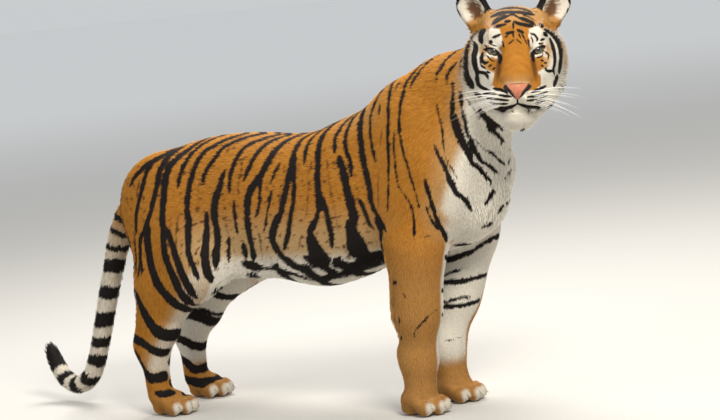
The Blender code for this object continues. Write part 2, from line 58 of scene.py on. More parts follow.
TRUNK = (  # along the body: place, height of the back, height of the belly, half width
    (-0.575, 0.635, 0.565, 0.022),
    (-0.548, 0.652, 0.520, 0.052),
    (-0.495, 0.684, 0.462, 0.090),
    (-0.425, 0.716, 0.420, 0.126),
    (-0.340, 0.746, 0.402, 0.153),
    (-0.240, 0.764, 0.396, 0.163),
    (-0.150, 0.768, 0.388, 0.165),
    (-0.060, 0.764, 0.368, 0.172),
    (0.030, 0.756, 0.342, 0.182),
    (0.110, 0.762, 0.333, 0.188),
    (0.190, 0.786, 0.348, 0.190),
    (0.270, 0.812, 0.374, 0.184),
    (0.350, 0.848, 0.396, 0.172),
    (0.430, 0.880, 0.402, 0.160),
    (0.510, 0.888, 0.422, 0.145),
    (0.580, 0.850, 0.458, 0.122),
    (0.635, 0.780, 0.525, 0.085),
    (0.660, 0.710, 0.585, 0.045),
)
TAIL = (  # down the tail: middle and radius
    (-0.520, 0.000, 0.602, 0.045),
    (-0.575, 0.000, 0.550, 0.0365),
    (-0.621, 0.000, 0.482, 0.0305),
    (-0.655, 0.000, 0.402, 0.0275),
    (-0.690, 0.000, 0.315, 0.0262),
    (-0.724, 0.002, 0.228, 0.0252),
    (-0.758, 0.006, 0.150, 0.0246),
    (-0.800, 0.014, 0.085, 0.0240),
    (-0.856, 0.026, 0.056, 0.0235),
    (-0.912, 0.042, 0.064, 0.0228),
    (-0.957, 0.058, 0.100, 0.0215),
    (-0.987, 0.070, 0.150, 0.0180),
)


def norm(rows):
    return np.sqrt((rows * rows).sum(1))


def unit(rows):
    return rows / np.maximum(norm(rows), 1e-12)[:, None]


def rise(values, low, high):
    """0 below low, 1 above high, smooth between."""
    t = np.clip((values - low) / (high - low), 0, 1)
    return t * t * (3 - 2 * t)


def limb(a, b, radius_a, radius_b, wide=1.0, across=(0, 1, 0)):
    """A tapered round limb from a to b, its section scaled by wide along across."""
    a, b, across = (np.array(row, float) for row in (a, b, across))
    along = b - a
    length_squared = along @ along

    def distance(points):
        share = np.clip((points - a) @ along / length_squared, 0, 1)
        off = points - a - share[:, None] * along
        off = off + np.outer(off @ across * (1 / wide - 1), across)
        return (norm(off) - (radius_a + share * (radius_b - radius_a))) * min(wide, 1.0)

    room_a, room_b = radius_a * max(wide, 1), radius_b * max(wide, 1)
    return distance, np.minimum(a - room_a, b - room_b), np.maximum(a + room_a, b + room_b)


def lump(centre, radii, turn=None):
    """An ellipsoid. turn is a rotation matrix for its own axes."""
    centre, radii = np.array(centre, float), np.array(radii, float)
    axes = np.array(Matrix.Identity(3) if turn is None else turn)

    def distance(points):
        local = (points - centre) @ axes
        size = norm(local / radii)
        return size * (size - 1) / np.maximum(norm(local / radii**2), 1e-9)

    half = np.abs(axes) @ radii
    return distance, centre - half, centre + half


def smooth_table(x, xs, values):
    """A cubic through the rows of a table, so that the outline has no corners."""
    slopes = np.gradient(values, xs)
    i = np.clip(np.searchsorted(xs, x) - 1, 0, len(xs) - 2)
    width = xs[i + 1] - xs[i]
    t = np.clip((x - xs[i]) / width, 0, 1)
    start = values[i] * (1 + 2 * t) * (1 - t) ** 2 + slopes[i] * width * t * (1 - t) ** 2
    end = values[i + 1] * t * t * (3 - 2 * t) + slopes[i + 1] * width * t * t * (t - 1)
    return start + end


def barrel(stations, squareness=2.25):
    """The ribcage and belly: egg-shaped sections from a table of stations along X."""
    table = np.array(stations, float)
    xs = table[:, 0]

    def distance(points):
        x = points[:, 0]
        top, bottom, half_width = (smooth_table(x, xs, table[:, i]) for i in (1, 2, 3))
        middle, half_height = (top + bottom) / 2, (top - bottom) / 2
        across = np.abs(points[:, 1]) / half_width
        upright = np.abs(points[:, 2] - middle) / half_height
        ring = (across**squareness + upright**squareness) ** (1 / squareness)
        beyond = np.maximum(np.maximum(x - xs[-1], xs[0] - x), 0)
        side = (ring - 1) * np.minimum(half_width, half_height)
        return np.where(beyond > 0, np.hypot(beyond, np.maximum(side, 0)) + 0.004, side)

    wide = table[:, 3].max()
    low = np.array((xs[0] - 0.05, -wide, table[:, 2].min()))
    return distance, low, np.array((xs[-1] + 0.05, wide, table[:, 1].max()))


def joined(first, second, blend):
    """Smooth union of two distances, with a fillet about as wide as blend."""
    overlap = np.maximum(blend - np.abs(first - second), 0) / blend
    return np.minimum(first, second) - overlap * overlap * blend / 4


def carved(body, cutter, blend):
    """body with cutter smoothly taken away."""
    return -joined(-body, cutter, blend)


def head_axes():
    """Columns are the head's forward, left and up directions."""
    yaw = Matrix.Rotation(HEAD_YAW, 3, "Z")
    pitch = Matrix.Rotation(-HEAD_PITCH, 3, "Y")
    roll = Matrix.Rotation(-HEAD_ROLL, 3, "X")
    return yaw @ pitch @ roll


HEAD_AXES = head_axes()


def in_head(forward, left, up):
    return HEAD_CENTRE + HEAD_AXES @ Vector((forward, left, up))


def head_places(points):
    """How far forward, left and up of the middle of the skull each point lies."""
    return (points - np.array(HEAD_CENTRE)) @ np.array(HEAD_AXES)


def head_limb(a, b, radius_a, radius_b, wide=1.0):
    across = HEAD_AXES @ Vector((0, 1, 0))
    return limb(in_head(*a), in_head(*b), radius_a, radius_b, wide, across)


def head_lump(place, radii, tilt=0.0):
    """A lump in the head's axes, tilted about its forward axis."""
    return lump(in_head(*place), radii, HEAD_AXES @ Matrix.Rotation(tilt, 3, "X"))


def trunk_masses():
    breast = limb((0.545, 0, 0.555), (0.570, 0, 0.680), 0.098, 0.088, 1.12)
    masses = [(barrel(TRUNK), 0.03), (breast, 0.05)]
    for side in SIDES:
        flank = limb((-0.06, 0.10 * side, 0.425), (-0.25, 0.145 * side, 0.42), 0.045, 0.055, 0.5)
        masses.append((flank, 0.05))
    return masses


def neck_masses():
    return [
        (limb((0.430, 0, 0.765), (0.560, -0.003, 0.806), 0.118, 0.124, 0.90), 0.05),  # root
        (limb((0.560, -0.003, 0.806), (0.695, -0.030, 0.856), 0.124, 0.110, 0.94), 0.05),  # nape
        (limb((0.545, 0, 0.640), (0.652, -0.035, 0.800), 0.100, 0.074, 1.10), 0.05),  # throat
    ]


def head_masses():
    masses = [
        (head_lump((-0.012, 0, 0.021), (0.124, 0.100, 0.094)), 0.04),  # braincase
        (head_lump((-0.070, 0, -0.010), (0.085, 0.100, 0.100)), 0.04),  # nape
        (head_limb((0.045, 0, 0.030), (0.150, 0, -0.070), 0.052, 0.040, 1.15), 0.03),  # nose bridge
        (head_lump((0.168, 0, -0.090), (0.030, 0.032, 0.024)), 0.015),  # nose
        (head_lump((0.106, 0, -0.100), (0.072, 0.060, 0.044)), 0.02),  # muzzle
        (head_lump((0.104, 0, -0.160), (0.050, 0.043, 0.034)), 0.032),  # chin
        (head_lump((0.030, 0, -0.135), (0.100, 0.070, 0.058)), 0.030),  # floor of the jaw
    ]
    for side in SIDES:
        masses += [
            (head_lump((0.066, 0.048 * side, 0.036), (0.034, 0.034, 0.030)), 0.030),  # brow
            (head_lump((0.036, 0.078 * side, -0.034), (0.072, 0.040, 0.050)), 0.035),  # cheekbone
            (head_lump((0.084, 0.046 * side, -0.070), (0.060, 0.034, 0.040)), 0.030),  # nose's side
            (head_lump((0.142, 0.034 * side, -0.112), (0.044, 0.036, 0.034)), 0.018),  # whisker pad
            (head_lump((0.036, 0.064 * side, -0.105), (0.080, 0.042, 0.046)), 0.030),  # jaw muscle
            # cheek ruff
            (head_lump((-0.012, 0.092 * side, -0.026), (0.060, 0.043, 0.078), 0.10 * side), 0.030),
            (head_lump((-0.020, 0.074 * side, -0.082), (0.060, 0.044, 0.052)), 0.03),  # lower ruff
            (head_lump((-0.095, 0.060 * side, -0.038), (0.072, 0.053, 0.076)), 0.06),  # nape ruff
        ]
    return masses


def ear_turn(side):
    turn = HEAD_AXES @ Matrix.Rotation(math.radians(-30) * side, 3, "X")
    return turn @ Matrix.Rotation(math.radians(20) * side, 3, "Z")


def ear_middle(side):
    return in_head(-0.040, 0.104 * side, 0.112)


def ear_masses(side):
    """A rounded cup: a leaf-shaped shell with its hollow scooped out in front."""
    turn = ear_turn(side)
    middle = ear_middle(side)
    forward = turn @ Vector((1, 0, 0))
    up = turn @ Vector((0, 0, 1))
    blade = lump(middle, (0.020, 0.042, 0.050), turn)
    root = lump(middle - up * 0.030, (0.032, 0.036, 0.036), turn)
    hollow = lump(middle + forward * 0.021 + up * 0.002, (0.022, 0.031, 0.040), turn)
    return blade, root, hollow


FORE_SIZE, HIND_SIZE = 0.87, 0.86  # of the feet, where 1 fits the measures in TOES
FOREPAWS = {RIGHT: (0.396, -0.108), LEFT: (0.414, 0.050)}  # middles on the floor
HINDPAWS = {RIGHT: (-0.424, -0.112), LEFT: (-0.462, 0.116)}
WRIST_X = {RIGHT: 0.404, LEFT: 0.398}
HOCK_BACK = {RIGHT: 0.0, LEFT: 0.036}  # the left hind foot stands farther back
ELBOW_X = {RIGHT: 0.456, LEFT: 0.464}
# how far forward and sideways of the middle of the foot each toe ends
TOES = ((0.030, -0.045), (0.060, -0.0165), (0.060, 0.0165), (0.030, 0.045))


def midway(a, b, share):
    return tuple(u + (v - u) * share for u, v in zip(a, b))


def foreleg_masses(side, paw):
    elbow = (ELBOW_X[side], 0.136 * side, 0.452)
    shoulder = (0.530, 0.112 * side, 0.622)
    wrist = (WRIST_X[side], paw[1] * 0.99, 0.150)
    return [
        (limb((0.430, 0.072 * side, 0.786), shoulder, 0.068, 0.082, 0.66), 0.05),  # shoulder blade
        (lump((0.460, 0.114 * side, 0.680), (0.115, 0.064, 0.140)), 0.05),  # shoulder muscle
        (limb(shoulder, elbow, 0.082, 0.072, 0.84), 0.05),  # upper arm
        (lump((0.428, 0.124 * side, 0.555), (0.086, 0.054, 0.110)), 0.05),  # triceps
        (lump((elbow[0] - 0.046, 0.136 * side, 0.475), (0.030, 0.034, 0.036)), 0.04),  # elbow
        (limb(elbow, wrist, 0.065, 0.052, 0.93), 0.04),  # forearm
        (limb(elbow, midway(elbow, wrist, 0.55), 0.056, 0.057, 0.95), 0.05),
        (limb(wrist, (midway(wrist, paw, 0.6)[0], paw[1], 0.060), 0.046, 0.044, 1.02), 0.03),
        (lump((wrist[0] - 0.036, wrist[1], wrist[2] + 0.016), (0.015, 0.018, 0.022)), 0.03),  # pad
    ]


def hindleg_masses(side, paw):
    back = HOCK_BACK[side]
    hip = (-0.375, 0.094 * side, 0.600)
    knee = (-0.270 - 0.2 * back, 0.146 * side, 0.430)
    calf = (-0.418 - 0.9 * back, 0.122 * side, 0.250)
    hock = (-0.460 - back, 0.114 * side, 0.194)
    thigh = ((-0.425, 0.084 * side, 0.540), (-0.405, 0.128 * side, 0.370))
    tendon = ((-0.405, 0.126 * side, 0.380), (-0.486 - back, 0.114 * side, 0.203))
    return [
        (lump((-0.360, 0.090 * side, 0.600), (0.126, 0.072, 0.116)), 0.05),  # rump
        (limb(hip, knee, 0.112, 0.084, 0.62), 0.06),  # front of the thigh
        (limb(*thigh, 0.066, 0.062, 0.80), 0.06),  # back of the thigh
        (limb(knee, calf, 0.080, 0.050, 0.74), 0.05),  # calf
        (limb(calf, hock, 0.050, 0.041, 0.84), 0.04),  # shin
        (limb(*tendon, 0.050, 0.024, 0.80), 0.05),  # tendon of the heel
        (limb(hock, (paw[0] - 0.036, paw[1], 0.062), 0.042, 0.037, 0.98), 0.04),  # foot
    ]


def paw_masses(paw, size):
    """Palm, four toes and the heel pad of a paw that is centred over paw and faces +X."""
    x, y = paw
    masses = [
        # palm and heel pad
        (lump((x - 0.008, y, 0.048 * size), (0.056 * size, 0.050 * size, 0.036 * size)), 0.02),
        (lump((x - 0.022, y, 0.020), (0.040 * size, 0.044 * size, 0.026)), 0.015),
    ]
    for forward, sideways in TOES:
        tip = (x + forward * size, y + sideways * size, 0.026)
        knuckle = (x + (forward - 0.035) * size, y + sideways * 0.72 * size, 0.050 * size)
        masses.append((limb(knuckle, tip, 0.022 * size, 0.0205 * size), 0.008))
        nose = (tip[0] + 0.007, tip[1], 0.023)
        masses.append((lump(nose, (0.027 * size, 0.0205 * size, 0.028 * size)), 0.006))
    return masses


def tail_line():
    """Points and radii along the smooth curve of the tail."""
    table = np.array(TAIL)
    rows = np.arange(len(TAIL))
    fine = np.linspace(0, len(TAIL) - 1, 3 * len(TAIL))
    return np.stack([smooth_table(fine, rows, table[:, i]) for i in range(4)], 1)


def all_masses():
    """(part, mass, blend) for the whole animal."""
    masses = [("trunk", *row) for row in trunk_masses()]
    masses += [("neck", *row) for row in neck_masses()]
    for side in SIDES:
        masses += [("foreleg", *row) for row in foreleg_masses(side, FOREPAWS[side])]
        masses += [("paw", *row) for row in paw_masses(FOREPAWS[side], FORE_SIZE)]
        masses += [("hindleg", *row) for row in hindleg_masses(side, HINDPAWS[side])]
        masses += [("paw", *row) for row in paw_masses(HINDPAWS[side], HIND_SIZE)]
    masses += [("head", *row) for row in head_masses()]
    for side in SIDES:
        blade, root, _ = ear_masses(side)
        masses += [("ear", root, 0.03), ("ear", blade, 0.012)]
    line = tail_line()
    pairs = zip(line[:-1], line[1:])
    return masses + [("tail", limb(a[:3], b[:3], a[3], b[3]), 0.012) for a, b in pairs]


def all_hollows():
    """What is scooped out of the outline: ears, eye sockets, nostrils, mouth and lip groove."""
    cutters = []
    for side in SIDES:
        cutters.append((ear_masses(side)[2], 0.010))
        cutters.append((head_lump((0.112, 0.057 * side, 0.000), (0.021, 0.020, 0.0105)), 0.013))
        cutters.append((head_lump((0.196, 0.020 * side, -0.104), (0.012, 0.006, 0.006)), 0.006))
    cutters.append((head_lump((0.138, 0, -0.1425), (0.050, 0.052, 0.0018)), 0.008))
    cutters.append((head_lump((0.200, 0, -0.128), (0.014, 0.0022, 0.014)), 0.008))
    return cutters


MASSES = all_masses()
HOLLOWS = all_hollows()
NEAR = 0.07  # a mass says nothing about points farther from its box than this


def close_to(points, mass):
    return np.all((points > mass[1] - NEAR) & (points < mass[2] + NEAR), axis=1)


def outline(points):
    """Distance to the tips of the coat, negative inside."""
    whole = np.full(len(points), 1.0)
    for _, mass, blend in MASSES:
        near = close_to(points, mass)
        whole[near] = joined(whole[near], mass[0](points[near]), blend)
    for mass, blend in HOLLOWS:
        near = close_to(points, mass)
        whole[near] = carved(whole[near], mass[0](points[near]), blend)
    return whole


PARTS = ("trunk", "neck", "foreleg", "paw", "hindleg", "head", "ear", "tail")


def part_shares(points, spread=0.014):
    """How much each point belongs to each of PARTS. The shares of a point add up to one."""
    nearest = np.full((len(PARTS), len(points)), 0.2)
    for part, mass, _ in MASSES:
        row = PARTS.index(part)
        near = close_to(points, mass)
        nearest[row, near] = np.minimum(nearest[row, near], mass[0](points[near]))
    nearest -= nearest.min(0)
    shares = np.exp(-nearest / spread)
    return dict(zip(PARTS, shares / shares.sum(0)))


# ---------------------------------------------------------------- skin
# One closed hide from nose to tail tip. It lies under the tips of the coat by the depth of
# the fur, thin on the nose, ears and feet and thick on the ruff, throat and belly. Around the
# eyes it folds into lids that rest on the eyeballs.
SKIN_MESH = 0.0094  # side of the hide's first, coarse squares
FUR_DEPTH = {
    "trunk": 0.0060,
    "neck": 0.0085,
    "foreleg": 0.0045,
    "paw": 0.0030,
    "hindleg": 0.0050,
    "head": 0.0040,
    "ear": 0.0018,
    "tail": 0.0060,
}
MUZZLE_THINNER = 0.0022  # how much thinner the coat is on the muzzle than on the head
RUFF_DEEPER = 0.006
BELLY_DEEPER = 0.003
EYE_RADIUS = 0.0195
EYE_PLACE = (0.0865, 0.0545, 0.001)
EYE_TURN = math.radians(8)  # each eye looks this far out from straight ahead
LID = 0.0028  # thickness of the lids over the eyeball
OPENING = (0.0140, 0.0040)  # half width and half height of the gap between the lids
OPENING_TILT = math.radians(24)  # the inner corner hangs this much lower


def fur_depth(points):
    shares = part_shares(points)
    depth = sum(share * FUR_DEPTH[part] for part, share in shares.items())
    f, l, _ = head_places(points).T
    skull = shares["head"]
    muzzle = skull * rise(f, 0.06, 0.12)
    depth = depth - muzzle * MUZZLE_THINNER
    ruff = skull * rise(np.abs(l), 0.075, 0.105) * rise(-f, -0.05, 0.0)
    depth = depth + ruff * RUFF_DEEPER
    belly = shares["trunk"] * rise(-points[:, 2], -0.45, -0.38)
    return depth + belly * BELLY_DEEPER


def eye_axes(side):
    """Columns are the eye's gaze, its outer side and its up direction, along the lids' tilt."""
    turn = HEAD_AXES @ Matrix.Rotation(EYE_TURN * side, 3, "Z")
    turn = turn @ Matrix.Rotation(OPENING_TILT * side, 3, "X")
    return np.array(turn)


def eye_centre(side):
    return np.array(in_head(EYE_PLACE[0], EYE_PLACE[1] * side, EYE_PLACE[2]))


def lid_gap(points, side):
    """Signed distance to the edge of the gap between the lids, seen along the gaze."""
    ahead, out, up = ((points - eye_centre(side)) @ eye_axes(side)).T
    half_width, half_height = OPENING
    radius = (half_width**2 + half_height**2) / (2 * half_height)
    offset = radius - half_height
    return ahead, np.maximum(np.hypot(out, up - offset), np.hypot(out, up + offset)) - radius


def face(points):
    """The outline with the lids folded round the eyeballs."""
    level = outline(points)
    for side in SIDES:
        reach = norm(points - eye_centre(side))
        near = reach < 0.05
        ahead, gap = lid_gap(points[near], side)
        lids = joined(level[near], reach[near] - (EYE_RADIUS + LID + 0.003), 0.010)
        opening = np.maximum.reduce((gap, EYE_RADIUS - 0.0012 - reach[near], 0.006 - ahead))
        level[near] = carved(lids, opening, 0.0016)
    return level


def listed(rows, title, wide, kind=np.float32):
    """The named values of a mesh's points, corners or triangles, as an array."""
    values = np.empty(len(rows) * wide, kind)
    rows.foreach_get(title, values)
    return values.reshape(-1, wide)


def mesh_points(mesh):
    return listed(mesh.vertices, "co", 3).astype(float)


def put_points(mesh, points):
    mesh.vertices.foreach_set("co", points.astype(np.float32).ravel())


def settled(points, field, level, rounds, longest):
    """points moved along the field's slope to where the field equals level."""
    step = 0.0005
    for _ in range(rounds):
        here = field(points)
        ahead = [field(points + np.array(axis) * step) - here for axis in np.eye(3)]
        slope = np.stack(ahead, 1) / step
        steep = np.maximum((slope * slope).sum(1), 0.05)
        move = -slope * ((here - level) / steep)[:, None]
        length = np.maximum(norm(move), 1e-9)
        points = points + move * np.minimum(1, longest / length)[:, None]
    return points


FLESH_NODES = ["head", "neck", "trunk", "tail_root", "tail_middle", "tail_tip"]
for part in ("ear", "foreleg", "forepaw", "hindleg", "hindpaw"):
    FLESH_NODES += [part + "_left", part + "_right"]


def finished(bm, name):
    """The mesh that a bmesh has become."""
    mesh = bpy.data.meshes.new(name)
    bm.to_mesh(mesh)
    bm.free()
    return mesh


def new_object(name, data):
    made = bpy.data.objects.new(name, data)
    bpy.context.scene.collection.objects.link(made)
    return made


def new_piece(name, mesh, material):
    """A finished object that rides on the still body."""
    mesh.materials.append(material)
    piece = new_object(name, mesh)
    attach(piece, "root")
    return piece


def wrapped_flesh():
    """The named flesh solids melted into one rough closed mesh, in the animal's frame."""
    bm = bmesh.new()
    for node in FLESH_NODES + ["nose_pad"]:
        bm.from_mesh(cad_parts[node].data)
    bmesh.ops.remove_doubles(bm, verts=bm.verts, dist=0.00002)
    bmesh.ops.translate(bm, verts=bm.verts, vec=Vector(-STAND_SHIFT))
    work = new_object("flesh", finished(bm, "flesh"))
    remesh = work.modifiers.new("remesh", "REMESH")
    remesh.mode = "VOXEL"
    remesh.voxel_size = SKIN_MESH
    graph = bpy.context.evaluated_depsgraph_get()
    result = bpy.data.meshes.new_from_object(work.evaluated_get(graph))
    bpy.data.objects.remove(work)
    return result


def near_face(points, finest):
    """Which points lie where the hide needs the given fineness, 1 to 3."""
    f, l, u = head_places(points).T
    if finest == 1:
        head = norm(np.stack((f - 0.03, l, u + 0.02), 1) / (0.20, 0.165, 0.215)) < 1
        toes = (points[:, 2] < 0.07) & (np.abs(points[:, 0]) < 0.6)
        return head | toes
    if finest == 2:
        return (f > 0.045) & (np.abs(l) < 0.10) & (u > -0.16) & (u < 0.055)
    close = np.zeros(len(points), bool)
    for side in SIDES:
        close |= norm(points - eye_centre(side)) < 0.030
    return close & (f > 0.07)


def hide():
    """The skin's mesh, finer on the head and finest at the lids."""
    mesh = wrapped_flesh()
    points = mesh_points(mesh)
    points = settled(points, outline, -fur_depth(points), 5, 0.012)
    put_points(mesh, points)
    for finest in (1, 2, 3):
        bm = bmesh.new()
        bm.from_mesh(mesh)
        wanted = near_face(mesh_points(mesh), finest)
        edges = [e for e in bm.edges if wanted[e.verts[0].index] and wanted[e.verts[1].index]]
        bmesh.ops.subdivide_edges(bm, edges=edges, cuts=1, use_grid_fill=True)
        bm.to_mesh(mesh)
        bm.free()
        points = mesh_points(mesh)
        chosen = near_face(points, finest)
        part = points[chosen]
        rounds = 4 if finest == 3 else 3
        points[chosen] = settled(part, face, -fur_depth(part), rounds, 0.004)
        put_points(mesh, points)
    points[:, 2] = np.maximum(points[:, 2], 0)
    put_points(mesh, points)
    mesh.update()
    return mesh


skin_mesh = hide()


# ---------------------------------------------------------------- markings
# Black stripes on an orange ground that pales to cream and white below. Each stripe is a line
# of points over the body, in centimetres, with its half width in millimetres at both ends. It
# is drawn tapering to points. The same markings colour the skin and the hairs.
FLANK_STRIPES = (  # x and height, right side
    (5, 4, (-33, 79), (-34, 73), (-38, 71), (-42, 67.5), (-44, 65)),
    (5, 3, (-36, 72), (-37.5, 69), (-39, 63), (-40.5, 60), (-42, 56), (-43, 52)),
    (6, 4, (-31, 76), (-33, 69.5), (-33.5, 65), (-35, 60), (-37, 56), (-39.5, 53)),
    (4, 3, (-39.5, 53), (-42, 49), (-43, 43), (-43.5, 40)),
    (8, 10, (-37.5, 55), (-38.5, 50), (-38.5, 45.5), (-37.5, 42), (-36, 39), (-33.5, 35)),
    (10, 8, (-34, 36), (-31, 32), (-28.5, 29.5)),
    (6, 6, (-25, 79), (-28.5, 73), (-30.5, 70), (-31, 65), (-31.5, 60), (-32, 56), (-32, 52)),
    (7, 9, (-32, 53), (-31.5, 48), (-30, 44), (-28.5, 40), (-28, 36), (-27, 32)),
    (5, 8, (-30.5, 53.5), (-28, 48), (-26, 43), (-25, 38), (-24.5, 34)),
    (5, 4, (-20, 80), (-24, 75.5), (-26, 71), (-26.8, 67), (-27, 64.5)),
    (5, 5, (-12, 80), (-17, 76.5), (-21, 73), (-22, 71), (-23, 67), (-24, 62), (-24.5, 58)),
    (6, 4, (-24.5, 59), (-24, 54), (-23.5, 50), (-23, 46), (-22, 43), (-21.5, 39)),
    (5, 4, (-5, 80), (-11, 77), (-15, 74), (-16.5, 71), (-18, 69), (-19, 67), (-19, 64.5)),
    (5, 5, (-18.5, 57), (-19, 52), (-19, 44), (-19, 38)),
    (4, 7, (-12, 68), (-13, 65), (-14, 62)),
    (8, 4, (-14, 63), (-15.5, 59), (-16, 55), (-16, 51), (-16.5, 46), (-17, 42)),
    (5, 4, (0, 80), (-3.5, 77), (-7, 74.5), (-8.5, 72), (-9.5, 69), (-10, 65), (-10, 62)),
    (4, 3, (-8.6, 60), (-9, 55), (-9.2, 50.5)),
    (5, 4, (4, 80), (-1, 75.5), (-3, 71), (-4, 68), (-5, 65)),
    (6, 7, (8, 80), (4, 75), (2, 70), (1, 67), (-0.5, 65), (-3, 62), (-4, 59), (-4.5, 55)),
    (7, 5, (-4.5, 56), (-5, 50), (-5.5, 46), (-6.5, 43)),
    (4, 3, (0.5, 66), (0.5, 61), (0, 58), (-1.5, 55.5)),
    (3, 3, (6, 69), (4, 64)),
    (3, 2, (4.5, 62), (3, 57), (1.5, 53), (0.5, 51)),
    (5, 6, (15, 80), (10, 76), (9.7, 73), (10, 70), (10, 65), (8.7, 60), (6.8, 55)),
    (7, 7, (7.2, 56), (3.5, 51), (3, 48), (4.5, 44), (7, 41)),
    (5, 4, (10.5, 71), (12, 65), (12, 60), (10.5, 55), (8.5, 50), (6, 46)),
    (5, 4, (18, 81), (14, 75), (14.5, 71), (15, 68.5)),
    (6, 6, (21, 82), (18.5, 76), (19.5, 70), (20, 65), (20, 60), (19.7, 56)),
    (5, 4, (20.5, 61), (22, 56.5), (22, 53), (22, 50), (21, 46)),
    (4, 6, (19.7, 57), (18.5, 54), (15.5, 50.5)),
    (6, 18, (16, 51), (15.8, 47), (16.5, 42)),
    (4, 4, (26, 82), (24, 75.5), (24.5, 73), (25, 71)),
    (4, 4, (28, 83), (27.5, 77), (28, 73), (30, 69), (30.5, 65)),
    (6, 8, (26.5, 70), (28.3, 65), (29, 60), (29.5, 55), (29.5, 52.5)),
    (6, 19, (27.5, 53), (28, 49), (27.5, 45), (28, 42.5)),
    (6, 6, (30, 84), (32, 77), (33.5, 73), (34.5, 67.5), (35.5, 62), (35.5, 57)),
    (6, 4, (35.5, 58), (37.5, 53), (40, 50)),
    (4, 4, (32, 58.5), (33, 55), (33.5, 52), (34.5, 50.5)),
    (5, 9, (36, 53), (37.5, 50), (37.2, 47), (36.8, 42)),
    (6, 8, (12, 44), (14, 42), (16.5, 40), (18, 38.5)),
    (7, 7, (19, 41), (23, 40.5), (29, 41), (35, 41.5)),
    (6, 7, (5, 44), (8, 41.3), (11, 38.5), (14, 36.5)),
    (7, 7, (13, 37), (18, 37.8), (24, 38.6), (30, 39.6), (36, 40.6)),
    (3, 4, (-6, 40.8), (0, 40.5), (5, 39), (9, 37)),
    (4, 3, (-12.5, 50), (-13.5, 46), (-14, 43)),
    (6, 5, (-8, 48), (-8.5, 44)),
    (8, 8, (-10, 42), (-5, 41)),
    (2.5, 2.5, (-43.6, 52), (-44.6, 47), (-44.8, 41)),
    (3, 3, (-41.8, 51), (-42.3, 46), (-41.8, 40.5)),
)
RUMP_STRIPES = (  # out from the middle and height, over the back of the rump
    (5, 5, (0, 77.5), (4, 75.5), (8, 72), (10.5, 68)),
    (6, 6, (0, 74), (3, 71.5), (6.5, 67), (8.5, 62), (9.5, 57)),
    (6, 6, (0, 70), (3, 67), (5.5, 62), (6.8, 56), (7, 50)),
    (6, 5, (3.2, 62), (4.2, 57), (4.6, 52)),
    (6, 5, (9.5, 68), (11.8, 61), (12.8, 54), (13, 47)),
    (6, 6, (9.8, 54), (10.3, 48), (10, 43)),
    (6, 5, (7.5, 47), (7.8, 42), (7.2, 38)),
    (7, 6, (15, 43), (11.5, 40), (8.5, 36), (7, 32)),
    (7, 6, (15.5, 36), (12.5, 33), (9, 29.5)),
)
SHOULDER_STRIPES = (  # finer and sparser
    (4, 3, (38, 90), (35.5, 81), (36, 78), (37, 74), (38, 70), (38.5, 68)),
    (3, 3, (38.5, 82.5), (39, 80)),
    (4, 2, (39, 92), (42, 82), (43, 78), (43, 73.5), (43, 70), (42.5, 65), (42, 60), (41, 55)),
    (2.5, 2, (45, 76), (45, 71), (45, 65), (45.5, 61.5), (48, 58), (49, 55), (49, 47.5)),
    (4, 2.5, (48, 95), (46, 89), (45.5, 86), (46, 82), (46.5, 77), (47, 73), (48, 68)),
    (2.5, 2, (48, 69), (49.5, 64), (50.5, 60), (51, 56)),
    (4, 3, (52, 96), (48.5, 90), (47.5, 86)),
    (3, 2, (43, 88), (42.5, 85.5)),
    (4, 3, (59, 98), (56, 90.5), (55.5, 87)),
    (3.4, 2.6, (61, 92), (59, 89), (59, 86)),
)
FLANK_FLECKS = (  # thin brown marks between the stripes
    (2, 2, (-40, 66), (-41, 62)),
    (2, 2, (-27, 57), (-27.5, 52), (-26.5, 49)),
    (2, 2, (-20.5, 65), (-21, 60), (-20.5, 55)),
    (2, 2, (-12.5, 74), (-13.5, 71)),
    (2, 2, (-11.5, 57), (-12.5, 52), (-12, 48)),
    (2, 2, (-6.5, 68), (-7, 63), (-6.5, 60)),
    (2, 2, (-1.5, 51), (-2, 47), (-3, 44)),
    (2, 2, (3, 73), (3.5, 69)),
    (2, 2, (7.5, 64), (7.5, 60)),
    (2, 2, (16.5, 68), (17, 63), (16.5, 58), (15, 54)),
    (2, 2, (23, 68), (24, 62), (24.5, 56), (24, 50)),
    (2, 2, (31.5, 63), (32, 60)),
    (2, 2, (39, 65), (38.5, 60), (38, 56)),
    (2, 2, (13, 50), (11, 46)),
    (2, 2, (24, 46), (24.5, 43)),
    (2, 2, (41, 76), (40.5, 72)),
)
HINDLEG_BANDS = (  # x and height over the outer face of the lower leg
    (9, 11, (-45.6, 35.5), (-44.3, 31.5), (-42.5, 28), (-40.8, 25.3)),
    (12, 14, (-41.5, 26), (-39.5, 24), (-37.5, 22.8), (-34.5, 22.3), (-30, 23)),
    (8, 9, (-52, 22.4), (-48, 21.8), (-45.5, 21), (-43, 19), (-41.5, 18), (-38, 17), (-34, 17)),
    (8, 9, (-49.5, 18.5), (-49, 15), (-47.5, 12)),
    (9, 10, (-52, 13), (-48, 12), (-46, 10.8), (-44, 10.6), (-40, 11.5), (-36, 12.5)),
    (6, 5, (-45, 6.5), (-40, 6)),
)
INNER_HINDLEG_BANDS = (
    (7, 7, (-44, 33), (-38, 30.5), (-34.5, 28.7), (-30, 28.5), (-26, 30)),
    (12, 10, (-52, 26), (-44.5, 24.5), (-42, 22.8), (-39.5, 20.5),
     (-35.5, 20.7), (-31, 22.5), (-28, 24)),
    (4, 3, (-43, 26.5), (-40, 24.5), (-38, 23)),
    (8, 8, (-56, 19), (-49.5, 17), (-47.5, 15.5), (-45, 14.2), (-40, 14.8), (-35, 16)),
    (8, 8, (-56, 13), (-50.5, 10.5), (-49, 9), (-47.5, 8), (-44, 8.8), (-39, 10)),
    (8, 7, (-53, 6), (-50, 5), (-45, 4.5), (-42, 5)),
    (9, 8, (-46, 41), (-38, 38), (-30, 36.5), (-23, 36.5)),
)
